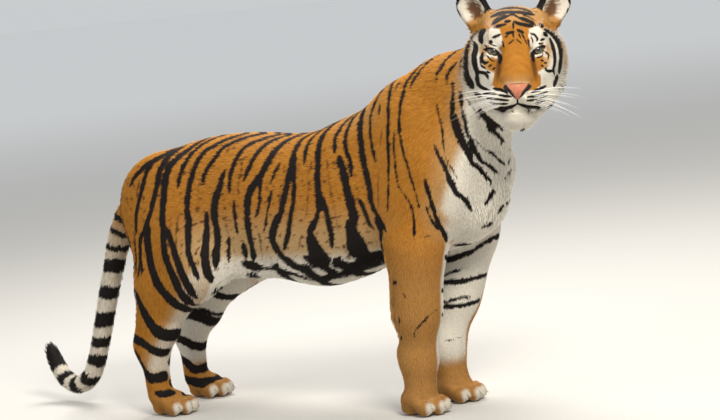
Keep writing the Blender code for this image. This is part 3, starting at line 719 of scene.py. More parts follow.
FORELEG_BANDS = (  # faint on the outer face
    (5, 3, (41.5, 36.7), (40, 35.7)),
    (3, 3, (43.2, 33.6), (43.6, 32.4)),
    (4, 3, (40.5, 27), (40, 25.4)),
    (4, 3, (39.5, 21.8), (38.6, 20.6)),
    (2, 2, (49, 28), (46.5, 25.5), (43.8, 23), (43.2, 21)),
    (2, 2, (53, 48.2), (50, 48)),
)
INNER_FORELEG_BANDS = (
    (7, 6, (41, 37.8), (43.5, 38.2), (46, 38.7), (49, 39.6), (51, 40.6)),
    (5, 4, (50.5, 40.4), (52.5, 41.6), (55, 43.5)),
    (3.5, 2.5, (42, 34), (43.5, 34.5), (46, 35.3), (48.5, 35.6)),
    (7, 4, (41, 32.2), (43.5, 32.4), (46.5, 32.2), (49.5, 32.6), (51.5, 32.9), (53.5, 33.8)),
    (4.5, 3, (41, 27), (43.5, 27.3), (46, 28), (48.5, 28)),
    (7, 3, (41, 25.8), (43.5, 25.8), (47, 25.9), (49, 26.2), (51, 27.2)),
    (2.5, 1.5, (40, 16.8), (43, 17), (45.5, 17.4)),
)
CHEST_MARKS = (  # way across the front from the flank, and height, on the throat and chest
    (2, 6, (35, 87), (34.4, 83), (34, 80.5), (34, 77.5), (34.6, 74), (35.5, 71)),
    (7, 3.5, (34, 79), (34.6, 74), (36.5, 68.2), (37.1, 65.6),
     (39.1, 63.7), (40.8, 61.3), (42.2, 59.8)),
    (8, 6, (34.8, 73), (35.5, 71), (36.5, 68.2), (37.3, 65.6)),
    (2, 4.5, (35.9, 84.5), (35.9, 81.5), (36.2, 77.5), (36.9, 73), (38.2, 68.7), (39.7, 65.7)),
    (5, 3, (37, 72.5), (38.2, 68.7), (39.7, 65.7), (41.4, 64.3), (43.1, 62.9), (45.4, 60.8)),
    (2, 2.4, (38.9, 71.2), (40, 69.5), (41.3, 68.3), (43.3, 67),
     (44.7, 65.4), (46.1, 64.1), (47.9, 63.1)),
    (2, 6, (28.2, 71.4), (28.7, 69), (29.6, 65.8), (30.3, 63.2), (31, 60.9), (31.9, 58.6)),
    (6, 4, (30, 64), (31, 60.9), (31.9, 58.6), (34.3, 56.4), (35.6, 54.2), (36.2, 52.7)),
    (1.8, 1.7, (30.7, 82.5), (30.8, 78), (30.9, 74.5), (30.4, 70.5),
     (30.5, 67.8), (31.3, 65.4), (32.4, 62)),
    (3, 3.5, (24.7, 63), (25, 60), (25.6, 57.6), (26, 55), (26.5, 52.7), (27.5, 50.5), (29, 47)),
    (3.5, 5, (26.2, 54), (27.5, 50.5), (28.5, 48.5), (29.4, 46)),
    (2.4, 2.6, (24.4, 56), (25, 53.4), (25.7, 51.7), (27, 49.5)),
    (2.2, 2, (47.6, 63), (48.6, 63.6), (49.3, 64.4)),
    (4, 3, (41.5, 74.5), (43.9, 72.3), (45.6, 70.8), (47, 69.6)),
    (3, 2, (46.2, 70.4), (45.6, 68.8)),
    (2, 2, (46, 59.6), (47.5, 60), (49.5, 61.5)),
    (7, 2, (42.9, 57), (41.7, 55.7), (40.4, 54.5), (38.9, 53.7)),
    (2.5, 2, (41.6, 58.9), (42.6, 58.3)),
    (4, 2.5, (44.1, 51), (45.4, 52.3), (47.5, 52.6), (49.6, 53.6)),
    (2.6, 2.6, (39, 48), (41.5, 48.4), (43, 49)),
)
TAIL_BANDS = (  # middle and half length along the tail, in centimetres
    (4.5, 0.7),
    (8.5, 0.8),
    (13.0, 0.9),
    (18.2, 1.0),
    (23.6, 2.1),
    (32.2, 2.0),
    (40.6, 2.5),
    (47.7, 1.6),
    (53.8, 2.1),
    (60.5, 1.8),
    (67.0, 1.7),
    (73.0, 1.6),
)
TAIL_TIP = 77.5  # where the black tip begins
FACE_MARKS = (  # left and up of the middle of the skull, seen from the front
    (1.6, 1.5, (-6, 9.7), (-4.5, 10.3), (-2.8, 10.7), (0, 10.8), (2.4, 10.4), (4.6, 9.6)),
    (3, 2.6, (-5.8, 8.7), (-4.1, 9.4), (-2, 9.8), (1.3, 9.7), (3.4, 9.3), (5, 8.9)),
    (3, 3, (-5.8, 6.8), (-4.6, 7.7), (-2.9, 8.5), (-1.6, 9)),
    (3, 3, (1, 8.4), (2.5, 7.9), (4.3, 7.1), (5.1, 6.4)),
    (2.5, 2.5, (-5.3, 6.1), (-3.8, 6.6), (-2.1, 6.9)),
    (3, 3, (-0.2, 7.6), (0.8, 7), (2.4, 6.6), (4.5, 6.1)),
    (2.5, 2.5, (-2.5, 7.5), (-1.1, 7.7)),
    (2.5, 2, (-0.4, 7.2), (-0.4, 5.9)),
    (2, 2, (-1.6, 9), (-0.4, 9.3), (1, 8.4)),
    (1.4, 1.2, (-5.2, 7.9), (-3.6, 8.9), (-2.2, 9.3)),
    (1.4, 1.2, (2, 9.1), (3.6, 8.5), (5, 7.6)),
    (1.4, 1.2, (-4.2, 11.3), (-1, 11.7), (2.4, 11.4)),
    (1.3, 1.2, (-2.6, 3.6), (-1.8, 4.3)),
    (1.3, 1.2, (-0.6, 4.6), (-0.4, 3.6)),
    (1.3, 1.2, (0.9, 4.5), (1.3, 3.4)),
    (2.5, 2.5, (-2.4, 4.7), (-0.3, 5)),
    (2.5, 2.5, (0.5, 5.5), (2.1, 4.7)),
    (1.3, 1.2, (-1.7, 2.1), (-0.3, 3.2)),
    (1.3, 1.2, (0.2, 3.3), (1.5, 2)),
    (1.8, 1.4, (-3.4, 3), (-2.9, 1.2)),
    (1.8, 1.4, (3.1, 3), (3.5, 1.1)),
    (1.3, 1.2, (1.6, 4.4), (2.3, 3.2)),
    (1.3, 1.2, (2.3, 3), (2.9, 1.8)),
    (2.5, 2, (-5.6, 3.7), (-3.7, 4.5)),
    (3, 3, (-6.5, 2.8), (-5.8, 2.5)),
    (1.8, 1.6, (3.8, 4.5), (4.8, 4.1), (5.5, 3.1), (5.3, 2.5)),
    (2, 2, (6.3, 2.6), (7.3, 3)),
    (4, 4, (-7.4, 5.8), (-8.3, 4.8), (-8.6, 3.6), (-8.4, 2.4)),
    (3, 3, (6.2, 6.7), (7, 5.9)),
    (4, 3, (7.2, 4.4), (8, 3.6)),
    (3, 5, (-9.3, 5.4), (-10.6, 4), (-11.7, 2.4), (-12.4, 0), (-12.6, -2), (-12.6, -4.5)),
    (5, 7, (-12.6, -3.5), (-12.5, -5.8), (-11.8, -7.4), (-11, -8.8)),
    (5, 4, (-10.2, 2.4), (-9.9, 1), (-10.4, -0.8), (-10.3, -2.8), (-9.9, -4.4), (-9.7, -5.9)),
    (4, 3, (-9.8, -5.2), (-9.5, -7.9), (-7.9, -9.1), (-6.8, -9.4)),
    (3, 2.5, (-10, -4.7), (-8.2, -5), (-7.4, -5.6), (-7.1, -6.5)),
    (3, 3, (-8.2, 0), (-8.6, -1.6), (-7.9, -2.5), (-6.9, -2.3)),
    (1.5, 1.5, (-8.9, -1), (-8.8, -3), (-7.7, -3.9)),
    (4, 4, (-10.4, -10.3), (-9, -10.9)),
    (2, 2, (-7.5, -11.4), (-6.2, -11.6)),
    (3.5, 2, (8.7, 3), (9.4, 1), (9.7, -1), (9.7, -3), (9.3, -4.8), (9.6, -6.2)),
    (2.5, 2.5, (7.3, -4.8), (8.2, -5.1), (9.3, -5)),
    (3.5, 3.5, (7.4, 5.3), (9.6, 3.7), (10.8, 1.8), (11.3, -0.2), (11.3, -2.6), (10.8, -5.8)),
    (3.5, 3.5, (10.3, -6.3), (9.8, -7.9), (9.4, -8.9)),
    (1.1, 1, (-7.3, -0.6), (-6.2, -1.9), (-5.2, -2.2)),
    (1.2, 1, (5, -1.7), (6.2, -1.5), (6.9, -0.7)),
    (2, 2, (6.2, -2.3), (6.9, -2.5)),
    (2, 2, (7, -3), (7.7, -3)),
    (4.2, 2.4, (-4.4, -0.3), (-3.9, -1.3), (-4.2, -2.8)),
    (4.2, 2.4, (4.3, -0.2), (4.1, -1.3), (4.4, -2.6)),
    (1.5, 1.3, (7.4, -0.3), (8.2, -1), (8, -2.2)),
    (1.8, 1.6, (6.2, -3.5), (6.8, -3.9)),
    (1.7, 1.5, (7.1, -4.5), (7.6, -4.2)),
    (1.9, 1.7, (-6.9, -3.5), (-6.1, -3)),
    (1.8, 1.6, (-7.4, -4.7), (-6.6, -5)),
    (1.7, 1.5, (-5.9, -4.2), (-5.3, -3.7)),
    (2.4, 1.6, (-7, 0.5), (-8.1, 0.9)),
    (1.2, 1.1, (-6.6, 2.3), (-5.7, 1.8), (-4.6, 1.5)),
    (1.2, 1.1, (-7.7, 1.9), (-7.1, 1.4)),
    (1.2, 1.1, (3.9, 3.7), (4.3, 2.8), (4.2, 1.9)),
    (1.3, 1.1, (5.8, 1.8), (6.9, 1.9)),
    (2.4, 1.6, (6.4, 0.9), (7.4, 1.3)),
    (8, 11, (-9.6, -14.8), (-8.4, -16.8), (-7.2, -18.8)),
    (7, 5, (-7, -19), (-5.4, -20.6), (-4, -22.5)),
    (7, 8, (9.2, -13.5), (8.2, -16), (7, -18)),
    (3, 3, (-4, -19.6), (-2, -20.3), (0, -20.1), (1.4, -19.2)),
    (2.4, 2, (-13.4, -12), (-11.4, -14.5), (-10.6, -17.5)),
    (2.4, 2, (12.4, -9), (11.2, -12), (10.4, -14)),
    (3, 3, (-14.6, -9), (-15.2, -13), (-14.4, -17)),
    (3, 3, (14, -8), (13.6, -12), (12.6, -15)),
    (4, 5, (-14.8, 4), (-15.8, -1), (-16, -6), (-15.4, -10)),
    (5, 4, (14, 4.5), (15.4, 0), (15.8, -5), (15.2, -10)),
    (4, 4, (-17.6, 6), (-18.8, 1), (-19, -5), (-18.4, -10)),
    (4, 3, (-21, 5), (-22, 0), (-22, -6)),
    (4, 4, (16.8, 6.5), (18.4, 2), (18.8, -4), (18, -10)),
    (4, 3, (20, 6), (21.4, 1), (21.6, -5)),
)
MUZZLE_MARKS = (  # thin dark rows at the roots of the whiskers, and the line of the lips
    (3.2, 2.4, (-5.8, -8.9), (-3.7, -9.3), (-2.4, -10)),
    (2.8, 2.2, (-4.8, -10.4), (-3, -10.7), (-1.5, -10.9)),
    (2.6, 2, (-7, -11.3), (-5.3, -11.5), (-2.2, -11.8)),
    (2.4, 1.8, (-8.4, -10.3), (-6.2, -10.1), (-5, -10.3)),
    (2.2, 1.8, (-6.8, -12.3), (-5, -12.7), (-2.5, -12.6)),
    (2.8, 2.4, (3.4, -10.1), (5.9, -9.2), (7.3, -8.7)),
    (2.8, 2.2, (2.6, -11.1), (5.5, -10.8), (7.6, -10.2)),
    (2.5, 2, (2.3, -12), (5.4, -11.8), (7.4, -11.2)),
    (2.4, 2, (4.4, -12.9), (6.8, -12.2)),
    (1.7, 1.7, (0, -10.8), (0, -13)),
    (2.6, 3.4, (0, -12.7), (-1.5, -13.4), (-4, -13.9), (-5.6, -14.2)),
    (2.6, 3.4, (0, -12.7), (2, -13.4), (4.5, -13.8), (5.8, -14)),
    (6, 4, (-4.8, -14), (-2.4, -14.1)),
    (5, 4, (4.8, -14.1), (5.7, -14)),
    (1.2, 1.2, (-1.5, -14.7), (-1.1, -14.9)),
    (1.2, 1.2, (1.6, -14.4), (2.1, -14.7)),
    (1.2, 1.2, (2.6, -14.7), (3, -14.9)),
)
BOLDNESS = {  # how much wider the marks are drawn than their numbers say
    "flank": 1.80,
    "shoulder": 1.65,
    "rump": 1.30,
    "fleck": 1.20,
    "hindleg": 1.60,
    "foreleg": 1.00,
    "inner foreleg": 1.20,
    "chest": 1.50,
    "left chest": 1.40,
    "face": 1.55,
    "muzzle": 1.50,
}
FAR = 0.02  # the distance given for a body stripe that is farther off than this
FACE_FAR = 0.008
SLANT = 0.7071  # the chest's marks are drawn as seen from halfway between ahead and abeam
LEFT_CHEST_MARKS = 12  # how many of the chest's marks are seen again on the left


def smooth_line(line, steps=3):
    """A stroke's points with a smooth curve through them, in metres."""
    line = np.array(line, float) / 100
    if len(line) < 3:
        return line
    rows = np.arange(len(line))
    fine = np.linspace(0, len(line) - 1, steps * (len(line) - 1) + 1)
    return np.stack([smooth_table(fine, rows, line[:, i]) for i in (0, 1)], 1)


def edge_of(strokes, places, bold, near=FAR):
    """Signed distance from each place to the nearest edge of the strokes, negative on them."""
    nearest = np.full(len(places), near)
    for start, end, *line in strokes:
        line = smooth_line(line)
        spans = norm(np.diff(line, axis=0))
        run = np.concatenate(((0,), np.cumsum(spans)))
        total = run[-1]
        taper = max(min(0.022, total * 0.30), 1e-4)
        room = near + bold * max(start, end) / 1000
        inside = np.all((places > line.min(0) - room) & (places < line.max(0) + room), axis=1)
        spots = places[inside]
        best = nearest[inside]
        for i, span in enumerate(spans):
            along = line[i + 1] - line[i]
            share = np.clip((spots - line[i]) @ along / span**2, 0, 1)
            away = norm(spots - line[i] - share[:, None] * along)
            gone = run[i] + share * span
            half = bold * (start + (end - start) * gone / total) / 1000
            to_end = np.minimum(gone, total - gone) / taper
            half = half * np.sqrt(np.clip(to_end + 0.25, 0, 1))
            best = np.minimum(best, away - half)
        nearest[inside] = best
    return nearest


def wander(points, size, seed):
    """A gentle random field between about -1 and 1, with features of the given size."""
    draw = np.random.default_rng(seed)
    total = np.zeros(len(points))
    for _ in range(6):
        direction = draw.normal(size=3)
        direction *= math.tau / size / np.sqrt((direction**2).sum()) * draw.uniform(0.6, 1.5)
        total += np.sin(points @ direction + draw.uniform(0, math.tau))
    return total / 2.6


def girth_height(points):
    """Height up the flank, carried on over the spine and under the belly."""
    _, y, z = points.T
    inward = np.maximum(0.10 - np.abs(y), 0)
    return z + 0.35 * inward * (2 * rise(z, 0.52, 0.66) - 1)


def tail_run(points):
    """How far along the tail each point is, from its root."""
    line = tail_line()[:, :3]
    spans = norm(np.diff(line, axis=0))
    run = np.concatenate(((0,), np.cumsum(spans)))
    nearest, gone = np.full(len(points), 9.0), np.zeros(len(points))
    for i, span in enumerate(spans):
        along = line[i + 1] - line[i]
        share = np.clip((points - line[i]) @ along / span**2, 0, 1)
        away = norm(points - line[i] - share[:, None] * along)
        closer = away < nearest
        nearest[closer] = away[closer]
        gone[closer] = run[i] + share[closer] * span
    return gone


class Lay:
    """Where points of the coat lie, in the terms that the markings are drawn in."""

    def __init__(self, points, normals, shares):
        self.points, self.normals, self.shares = points, normals, shares
        self.x, self.y, self.z = x, y, z = points.T
        self.head = head_places(points).T
        self.skull = shares["head"] + shares["ear"]
        self.height = girth_height(points)
        self.gone = tail_run(points)
        self.neck_middle = -0.08 * rise(x, 0.55, 0.75) * rise(z, 0.75, 0.9)
        self.side = np.where(y < self.neck_middle, RIGHT, LEFT)
        self.left = self.side == LEFT
        self.under = rise(-normals[:, 2], 0.35, 0.75) * shares["trunk"] * rise(-z, -0.47, -0.42)
        # the stripes on the left are not quite those on the right
        self.warp = 0.012 * np.sin(19 * x + 9 * z + 1.3) + 0.0035 * np.sin(47 * z + 11 * x)
        self.flank = np.stack((x + np.where(self.left, self.warp + 0.012, 0), self.height), 1)
        # outer and inner faces of the legs
        self.on_fore = shares["foreleg"] + shares["paw"] * (x > 0)
        self.on_hind = shares["hindleg"] + shares["paw"] * (x < 0)
        bottom = 1 - rise(z, 0.15, 0.45)
        left_fore = y > -0.029
        fore_middle = np.where(left_fore, 0.136 - 0.086 * bottom, -0.136 + 0.028 * bottom)
        fore_out = (y - fore_middle) * np.where(left_fore, LEFT, RIGHT)
        fore_reach = np.where(left_fore, 0.030 - 0.018 * rise(-z, -0.30, -0.20), -0.004)
        self.inner_fore = rise(fore_reach - fore_out, -0.010, 0.012) * rise(-z, -0.50, -0.43)
        hind_out = (y - 0.118 * self.side) * self.side
        hind_reach = np.where(self.left, 0.030, 0.0)
        self.inner_hind = rise(hind_reach - hind_out, 0.000, 0.016) * rise(-z, -0.46, -0.40)
        inner = np.maximum(self.inner_fore * (x > 0.30), self.inner_hind * (x < -0.1))
        self.off_flank = FAR * inner
        self.upper = (z > 0.27) & (shares["tail"] < 0.5) & (self.skull < 0.6)
        # how far ahead of the line where the chest, and the thigh and shin, turn white
        self.past_chest = x - np.interp(
            z,
            (0.46, 0.50, 0.55, 0.60, 0.65, 0.72, 0.80, 0.90),
            (0.575, 0.570, 0.562, 0.585, 0.604, 0.616, 0.640, 0.670),
        )
        thigh_line = np.interp(
            z, (0.14, 0.19, 0.25, 0.33, 0.45), (-0.455, -0.425, -0.370, -0.290, -0.200)
        )
        self.past_thigh = x - (thigh_line - 0.03 * self.left * (z < 0.3))


def body_stripes(at):
    """Distance to the edge of the stripes of the body, legs, chest and belly."""
    x, y, z, normals = at.x, at.y, at.z, at.normals
    flank = edge_of(FLANK_STRIPES, at.flank, BOLDNESS["flank"])
    shoulder = edge_of(SHOULDER_STRIPES, at.flank, BOLDNESS["shoulder"])
    flank = np.minimum(flank, shoulder) + at.off_flank
    backward = -normals[:, 0] + 0.35 * rise(z, 0.64, 0.71)
    off_rump = FAR * (1 - rise(backward, 0.42, 0.58) * (x < -0.33))
    rump_places = np.stack((np.abs(y) + 0.4 * at.warp * at.left, z), 1)
    rump = edge_of(RUMP_STRIPES, rump_places, BOLDNESS["rump"]) + off_rump
    edge = np.where(at.upper, np.minimum(flank, rump), FAR)

    level = np.stack((x, z), 1)
    stepped = np.stack((x + np.where(at.left, 0, -0.036) * (z < 0.3), z), 1)
    on_fore, on_hind, inner_fore, inner_hind = at.on_fore, at.on_hind, at.inner_fore, at.inner_hind
    for strokes, bold, places, other_face, here in (
        (HINDLEG_BANDS, "hindleg", level, inner_hind, (on_hind > 0.5) & (z < 0.40)),
        (INNER_HINDLEG_BANDS, "hindleg", stepped, 1 - inner_hind, (on_hind > 0.3) & (z < 0.5)),
        (FORELEG_BANDS, "foreleg", level, inner_fore, (on_fore > 0.5) & (z < 0.52)),
        (INNER_FORELEG_BANDS, "inner foreleg", level, 1 - inner_fore, (on_fore > 0.4) & (z < 0.5)),
    ):
        band = edge_of(strokes, places, BOLDNESS[bold]) + FAR * other_face
        edge = np.where(here, np.minimum(edge, band), edge)

    chest = edge_of(CHEST_MARKS, np.stack(((x + y) * SLANT, z), 1), BOLDNESS["chest"])
    mirrored = np.stack(((x - y + 2 * at.neck_middle) * SLANT + 0.6 * at.warp, z), 1)
    left_chest = edge_of(CHEST_MARKS[:LEFT_CHEST_MARKS], mirrored, BOLDNESS["left chest"])
    left_chest = left_chest + FAR * rise(-normals[:, 1], -0.25, -0.05)
    left_chest = left_chest + FAR * rise(z, 0.82, 0.86)
    chest = np.where(normals[:, 0] - normals[:, 1] > 0.25, chest, left_chest)
    edge = np.where((x > 0.46) & (z > 0.44) & (at.skull < 0.7), np.minimum(edge, chest), edge)

    bars = 0.020 - 0.026 * (0.5 + 0.5 * np.sin(x * 62 + 9 * np.abs(y)))
    return np.where(at.under > 0.5, np.minimum(edge, bars), edge)


def tail_rings(at):
    """Distance to the edge of the tail's rings and black tip."""
    rings = np.full(len(at.x), FAR)
    lean = 0.007 * at.normals[:, 0] + 0.003 * wander(at.points, 0.05, 8)
    for middle, half in TAIL_BANDS:
        rings = np.minimum(rings, np.abs(at.gone + lean - middle / 100) - half / 100)
    return np.minimum(rings, TAIL_TIP / 100 - at.gone)


def head_stripes(at, edge):
    """edge with the marks of the face, lids, lips, crown, nape and throat."""
    f, l, u = at.head
    flat = np.stack((l + np.sign(l) * 0.5 * np.maximum(0.01 - f, 0), u), 1)
    marks = edge_of(FACE_MARKS, flat, BOLDNESS["face"], FACE_FAR)
    fine_marks = edge_of(MUZZLE_MARKS, flat, BOLDNESS["muzzle"], FACE_FAR)
    under_jaw = (at.shares["neck"] > 0.3) & (f > -0.05) & (u < -0.10)
    edge = np.where(under_jaw, np.minimum(edge, marks), edge)
    head = np.where(f > 0.05, np.minimum(marks, fine_marks), marks)
    head = head + 0.03 * (1 - rise(f, -0.19, -0.16))
    for side in SIDES:
        ahead, gap = lid_gap(at.points, side)
        above = (at.points - eye_centre(side)) @ eye_axes(side)[:, 2]
        rim = gap - np.where(above > 0, 0.0058, 0.0040)
        head = np.where((ahead > 0.0) & (ahead < 0.05), np.minimum(head, rim), head)
    bars = 0.5 + 0.5 * np.sin((f - 0.010 * np.cos(l * 50)) * 190)
    crown = 0.010 - 0.014 * bars + 0.03 * rise(np.abs(l), 0.055, 0.08)
    on_crown = (u > 0.04) & (f < 0.0) & (at.skull > 0.4)
    head = np.where(on_crown, np.minimum(head, crown), head)
    return np.where(at.skull > 0.5, head, edge)


def brown_flecks(at):
    """Distance to the edge of the brown marks between the stripes, and of the brown beside the nose
    bridge, which is partly tear mark and partly painted shade.
    """
    flecks = edge_of(FLANK_FLECKS, at.flank, BOLDNESS["fleck"]) + at.off_flank
    speckle = wander(at.points, 0.023, 14) + 0.25 * wander(at.points, 0.09, 15)
    speckled = (at.shares["trunk"] + at.on_hind) * rise(at.z, 0.36, 0.42)
    speckled = speckled * rise(-at.x, -0.42, -0.38)
    flecks = np.minimum(flecks, FAR - 0.0235 * rise(speckle, 0.55, 0.85) * speckled)
    flecks = np.where(at.upper & (at.shares["tail"] < 0.3), flecks, FAR)
    f, l, u = at.head
    # Beside the nose bridge: brown that is partly the tear marks and partly painted shade along the
    # bridge's sides.
    beside_nose = np.hypot((np.abs(l) - 0.041 + 0.14 * (u + 0.02)) / 0.009, (u + 0.034) / 0.044)
    shadow = 0.0020 - 0.0034 * (1 - rise(beside_nose, 0.2, 1.3))
    return np.where((at.skull > 0.5) & (f > 0.05), shadow, flecks)


def ear_marks(at, edge, flecks):
    """Ears black behind with a white spot, with pale hair inside over a hollow darkened brown as
    painted shade.
    """
    pale, dark = np.zeros(len(at.x)), np.zeros(len(at.x))
    for side in SIDES:
        turn = np.array(ear_turn(side))
        off = at.points - np.array(ear_middle(side))
        _, out, up = (off @ turn).T
        mine = (at.shares["ear"] > 0.5) & (norm(off) < 0.09)
        facing = at.normals @ turn[:, 0]
        rear = mine & (facing < 0.05)
        white_spot = np.hypot(out, (up - 0.008) * 1.1) < 0.016
        edge = np.where(rear, np.where(white_spot | (up < -0.035), 0.01, -0.01), edge)
        bowl = mine & (facing > 0.05)
        inward = rise(-out * side, 0.0, 0.03)
        brink = 0.037 - 0.009 * inward + 0.002 * wander(at.points, 0.02, 10)
        brink = brink - norm(np.stack((out, np.maximum(up, 0)), 1))
        edge = np.where(bowl, np.where(up > -0.030, brink, 0.01), edge)
        pale = np.where(bowl, np.maximum(pale, rise(up, -0.034, -0.014)), pale)
        pale = np.where(rear & white_spot, 1.0, pale)
        depth = np.hypot((out + 0.004 * side) / 0.021, (up + 0.006) / 0.032)
        # Painted shade: the hollow of each ear is darkened towards its middle.
        hollow = (1 - rise(depth + 0.25 * wander(at.points, 0.012, 9), 0.4, 1.3)) * bowl
        dark = np.maximum(dark, hollow)
    flecks = np.where(dark > 0.1, np.minimum(flecks, 0.0020 - 0.0040 * dark), flecks)
    return edge, flecks, pale, dark


def strongest(*layers):
    return np.maximum.reduce(layers)


def body_paleness(at):
    """How near white the ground of the body, legs and tail is."""
    x, z, shares, on_fore, on_hind = at.x, at.z, at.shares, at.on_fore, at.on_hind
    body = at.skull < 0.6
    flank = rise(-at.height, -0.480, -0.400) * (shares["trunk"] > 0.4) * (x > -0.30)
    chest = rise(at.past_chest, -0.024, 0.024) * rise(z, 0.34, 0.44) * (z < 0.90) * body
    throat = rise(-at.normals[:, 2], 0.2, 0.7) * (x > 0.54) * (z > 0.30) * body
    low_fore = rise(z - 0.6 * np.maximum(x - 0.44, 0), 0.08, 0.15)
    thigh = 0.66 * on_hind * rise(at.past_thigh, -0.030, 0.014)
    thigh = thigh * rise(-z, -0.46, -0.40) * rise(z, 0.08, 0.14)
    armpit = rise(-np.abs(at.y), -0.11, -0.06) * rise(-z, -0.52, -0.44) * rise(z, 0.30, 0.38)
    toes = shares["paw"] * rise(-z, -0.052, -0.028) * rise(at.normals[:, 0], 0.1, 0.6)
    tail = shares["tail"] * (0.40 + 0.28 * rise(at.gone, 0.1, 0.3)) * rise(at.gone, 0.03, 0.14)
    return strongest(
        flank,
        at.under,
        chest,
        throat,
        at.inner_fore * on_fore * low_fore,
        0.10 * on_fore * rise(-z, -0.36, -0.16),
        0.9 * at.inner_hind * on_hind * rise(z, 0.07, 0.13),
        thigh,
        armpit * (x > 0.3) * (x < 0.6),
        0.85 * toes,
        tail,
    )


def face_paleness(f, l, u, m, v, outer):
    """An orange forehead and nose bridge between pale brows, cheeks and lips."""
    bridge = np.interp(
        v,
        (-0.099, -0.094, -0.080, -0.060, -0.040, -0.020, 0.000, 0.012),
        (-0.020, 0.045, 0.062, 0.058, 0.049, 0.040, 0.034, 0.033),
    )
    lower_face = rise(m - bridge, -0.004, 0.005) * rise(-v, -0.012, 0.002)
    brow = np.abs(v - 0.0345 - 0.12 * (m - 0.05)) / 0.026
    brow = (np.abs(m - 0.051) / 0.0165) ** 3 + brow**3
    round_eye = np.hypot((m - 0.056) / 0.023, (v + 0.0005) / 0.0115)
    # Painted shade: the cheek on the right of the face (l < 0) is drawn less pale than the left.
    cheek = (0.80 - 0.12 * (l < 0)) * outer
    pale = strongest(lower_face, 1 - rise(brow, 0.5, 1.7), 1 - rise(round_eye, 0.7, 1.2), cheek)
    under_eye = np.hypot((m - 0.058) / 0.026, (v + 0.030) / 0.018)
    pale = pale * (1 - 0.92 * (1 - rise(under_eye, 0.65, 1.25)))
    beside_eye = np.hypot((m - 0.083) / 0.010, (v + 0.004) / 0.026)
    pale = pale * (1 - 0.7 * (1 - rise(beside_eye, 0.3, 1.5)))
    pale = pale * (1 - 0.60 * rise(m, 0.102, 0.122) * rise(v, -0.08, -0.02))
    over_nose = rise(u, -0.081, -0.077) * rise(-u, 0.066, 0.074) * rise(-m, -0.040, -0.025)
    pale = np.maximum(pale, 0.30 * over_nose)
    pale = pale * rise(f + 0.5 * v, -0.20, -0.10)
    return np.maximum(pale, rise(-u, 0.05, 0.12) * 0.9 * rise(-f, -0.02, 0.03))


def tan_ground(at, m, outer, ear_pale):
    """How tan the ground is: deep orange on the back and shoulder, tan lower down, with a painted
    highlight of tan along the top of the back.
    """
    x, z, skull, on_fore = at.x, at.z, at.skull, at.on_fore
    f, _, u = at.head
    flank = rise(-at.height, -0.60, -0.47) * 0.9 * (1 - skull) * (1 - on_fore)
    thigh = rise(at.past_thigh, -0.05, 0.0) * rise(-z, -0.46, -0.40) * rise(z, 0.09, 0.14)
    chest = 0.50 * rise(at.past_chest, -0.075, -0.015) * (skull < 0.6) * rise(z, 0.40, 0.50)
    return strongest(
        flank * rise(x, -0.32, -0.20),
        0.22 * at.shares["paw"],
        0.6 * at.on_hind * thigh,
        0.28 * on_fore * rise(-z, -0.54, -0.32),
        chest,
        # Paler along the top of the back behind the shoulders: a painted highlight.
        0.30 * rise(z, 0.74, 0.80) * (1 - skull) * rise(-x, -0.45, -0.30),  # along the spine
        skull * 0.45 * rise(u, 0.055, 0.085),  # crown
        skull * 0.40 * rise(-u, 0.045, 0.075) * (1 - rise(m, 0.02, 0.05)),  # above the nose
        at.shares["tail"] * rise(at.gone, 0.05, 0.2),
        0.8 * ear_pale,
        skull * 0.55 * outer * rise(f, -0.10, -0.04),  # cheeks
    )


def markings(points, normals, shares):
    """Stripe edge in millimetres, paleness, tan and fleck edge of each point of the coat."""
    at = Lay(points, normals, shares)
    on_tail = (shares["tail"] > 0.5) & (at.gone > 0.035)
    edge = head_stripes(at, np.where(on_tail, tail_rings(at), body_stripes(at)))
    edge, flecks, ear_pale, ear_hollow_shade = ear_marks(at, edge, brown_flecks(at))

    f, l, u = at.head
    m = np.abs(l) + 0.0016 * wander(points, 0.018, 16)
    v = u + 0.0016 * wander(points, 0.018, 17)
    outer = rise(m, 0.064, 0.072) * rise(-v - 0.4 * (m - 0.08), -0.062, -0.044)
    pale = body_paleness(at) * (1 - at.skull) + face_paleness(f, l, u, m, v, outer) * at.skull
    # The pale hair inside the ear is dimmed by the painted shade of its hollow.
    pale = np.maximum(pale, ear_pale * (0.85 - 0.5 * ear_hollow_shade))
    tan = tan_ground(at, m, outer, ear_pale)

    ragged = 0.0012 * wander(points, 0.03, 5) + 0.0005 * wander(points, 0.009, 6)
    edge = edge + np.where(at.skull > 0.5, 0.4, 1.0) * ragged
    return edge * 1000, np.clip(pale, 0, 1), np.clip(tan, 0, 1), flecks * 1000


HAIR_COLOURS = {
    "Orange": (0.365, 0.128, 0.010),
    "Bright": (0.560, 0.240, 0.030),
    "Tan": (0.560, 0.370, 0.170),
    "White": (0.840, 0.780, 0.665),
    "Black": (0.010, 0.007, 0.006),
    "Brown": (0.110, 0.036, 0.010),
}


def link(tree, source, target):
    tree.links.new(source, target)


def ranged(tree, value, low, high, to_low=0.0, to_high=1.0):
    """A smooth map of value from one range onto another."""
    node = tree.nodes.new("ShaderNodeMapRange")
    node.interpolation_type = "SMOOTHSTEP"
    for socket, setting in zip(node.inputs[1:5], (low, high, to_low, to_high)):
        socket.default_value = setting
    link(tree, value, node.inputs[0])
    return node.outputs[0]


def mixed(tree, share, first, second, kind="MIX"):
    """A colour mix. Each of share, first and second is a socket or a value."""
    node = tree.nodes.new("ShaderNodeMix")
    node.data_type = "RGBA"
    node.blend_type = kind
    for number, thing in ((0, share), (6, first), (7, second)):
        socket = node.inputs[number]
        if isinstance(thing, bpy.types.NodeSocket):
            link(tree, thing, socket)
        elif isinstance(thing, tuple):
            socket.default_value = (*thing, 1)
        else:
            socket.default_value = thing
    return node.outputs[2]


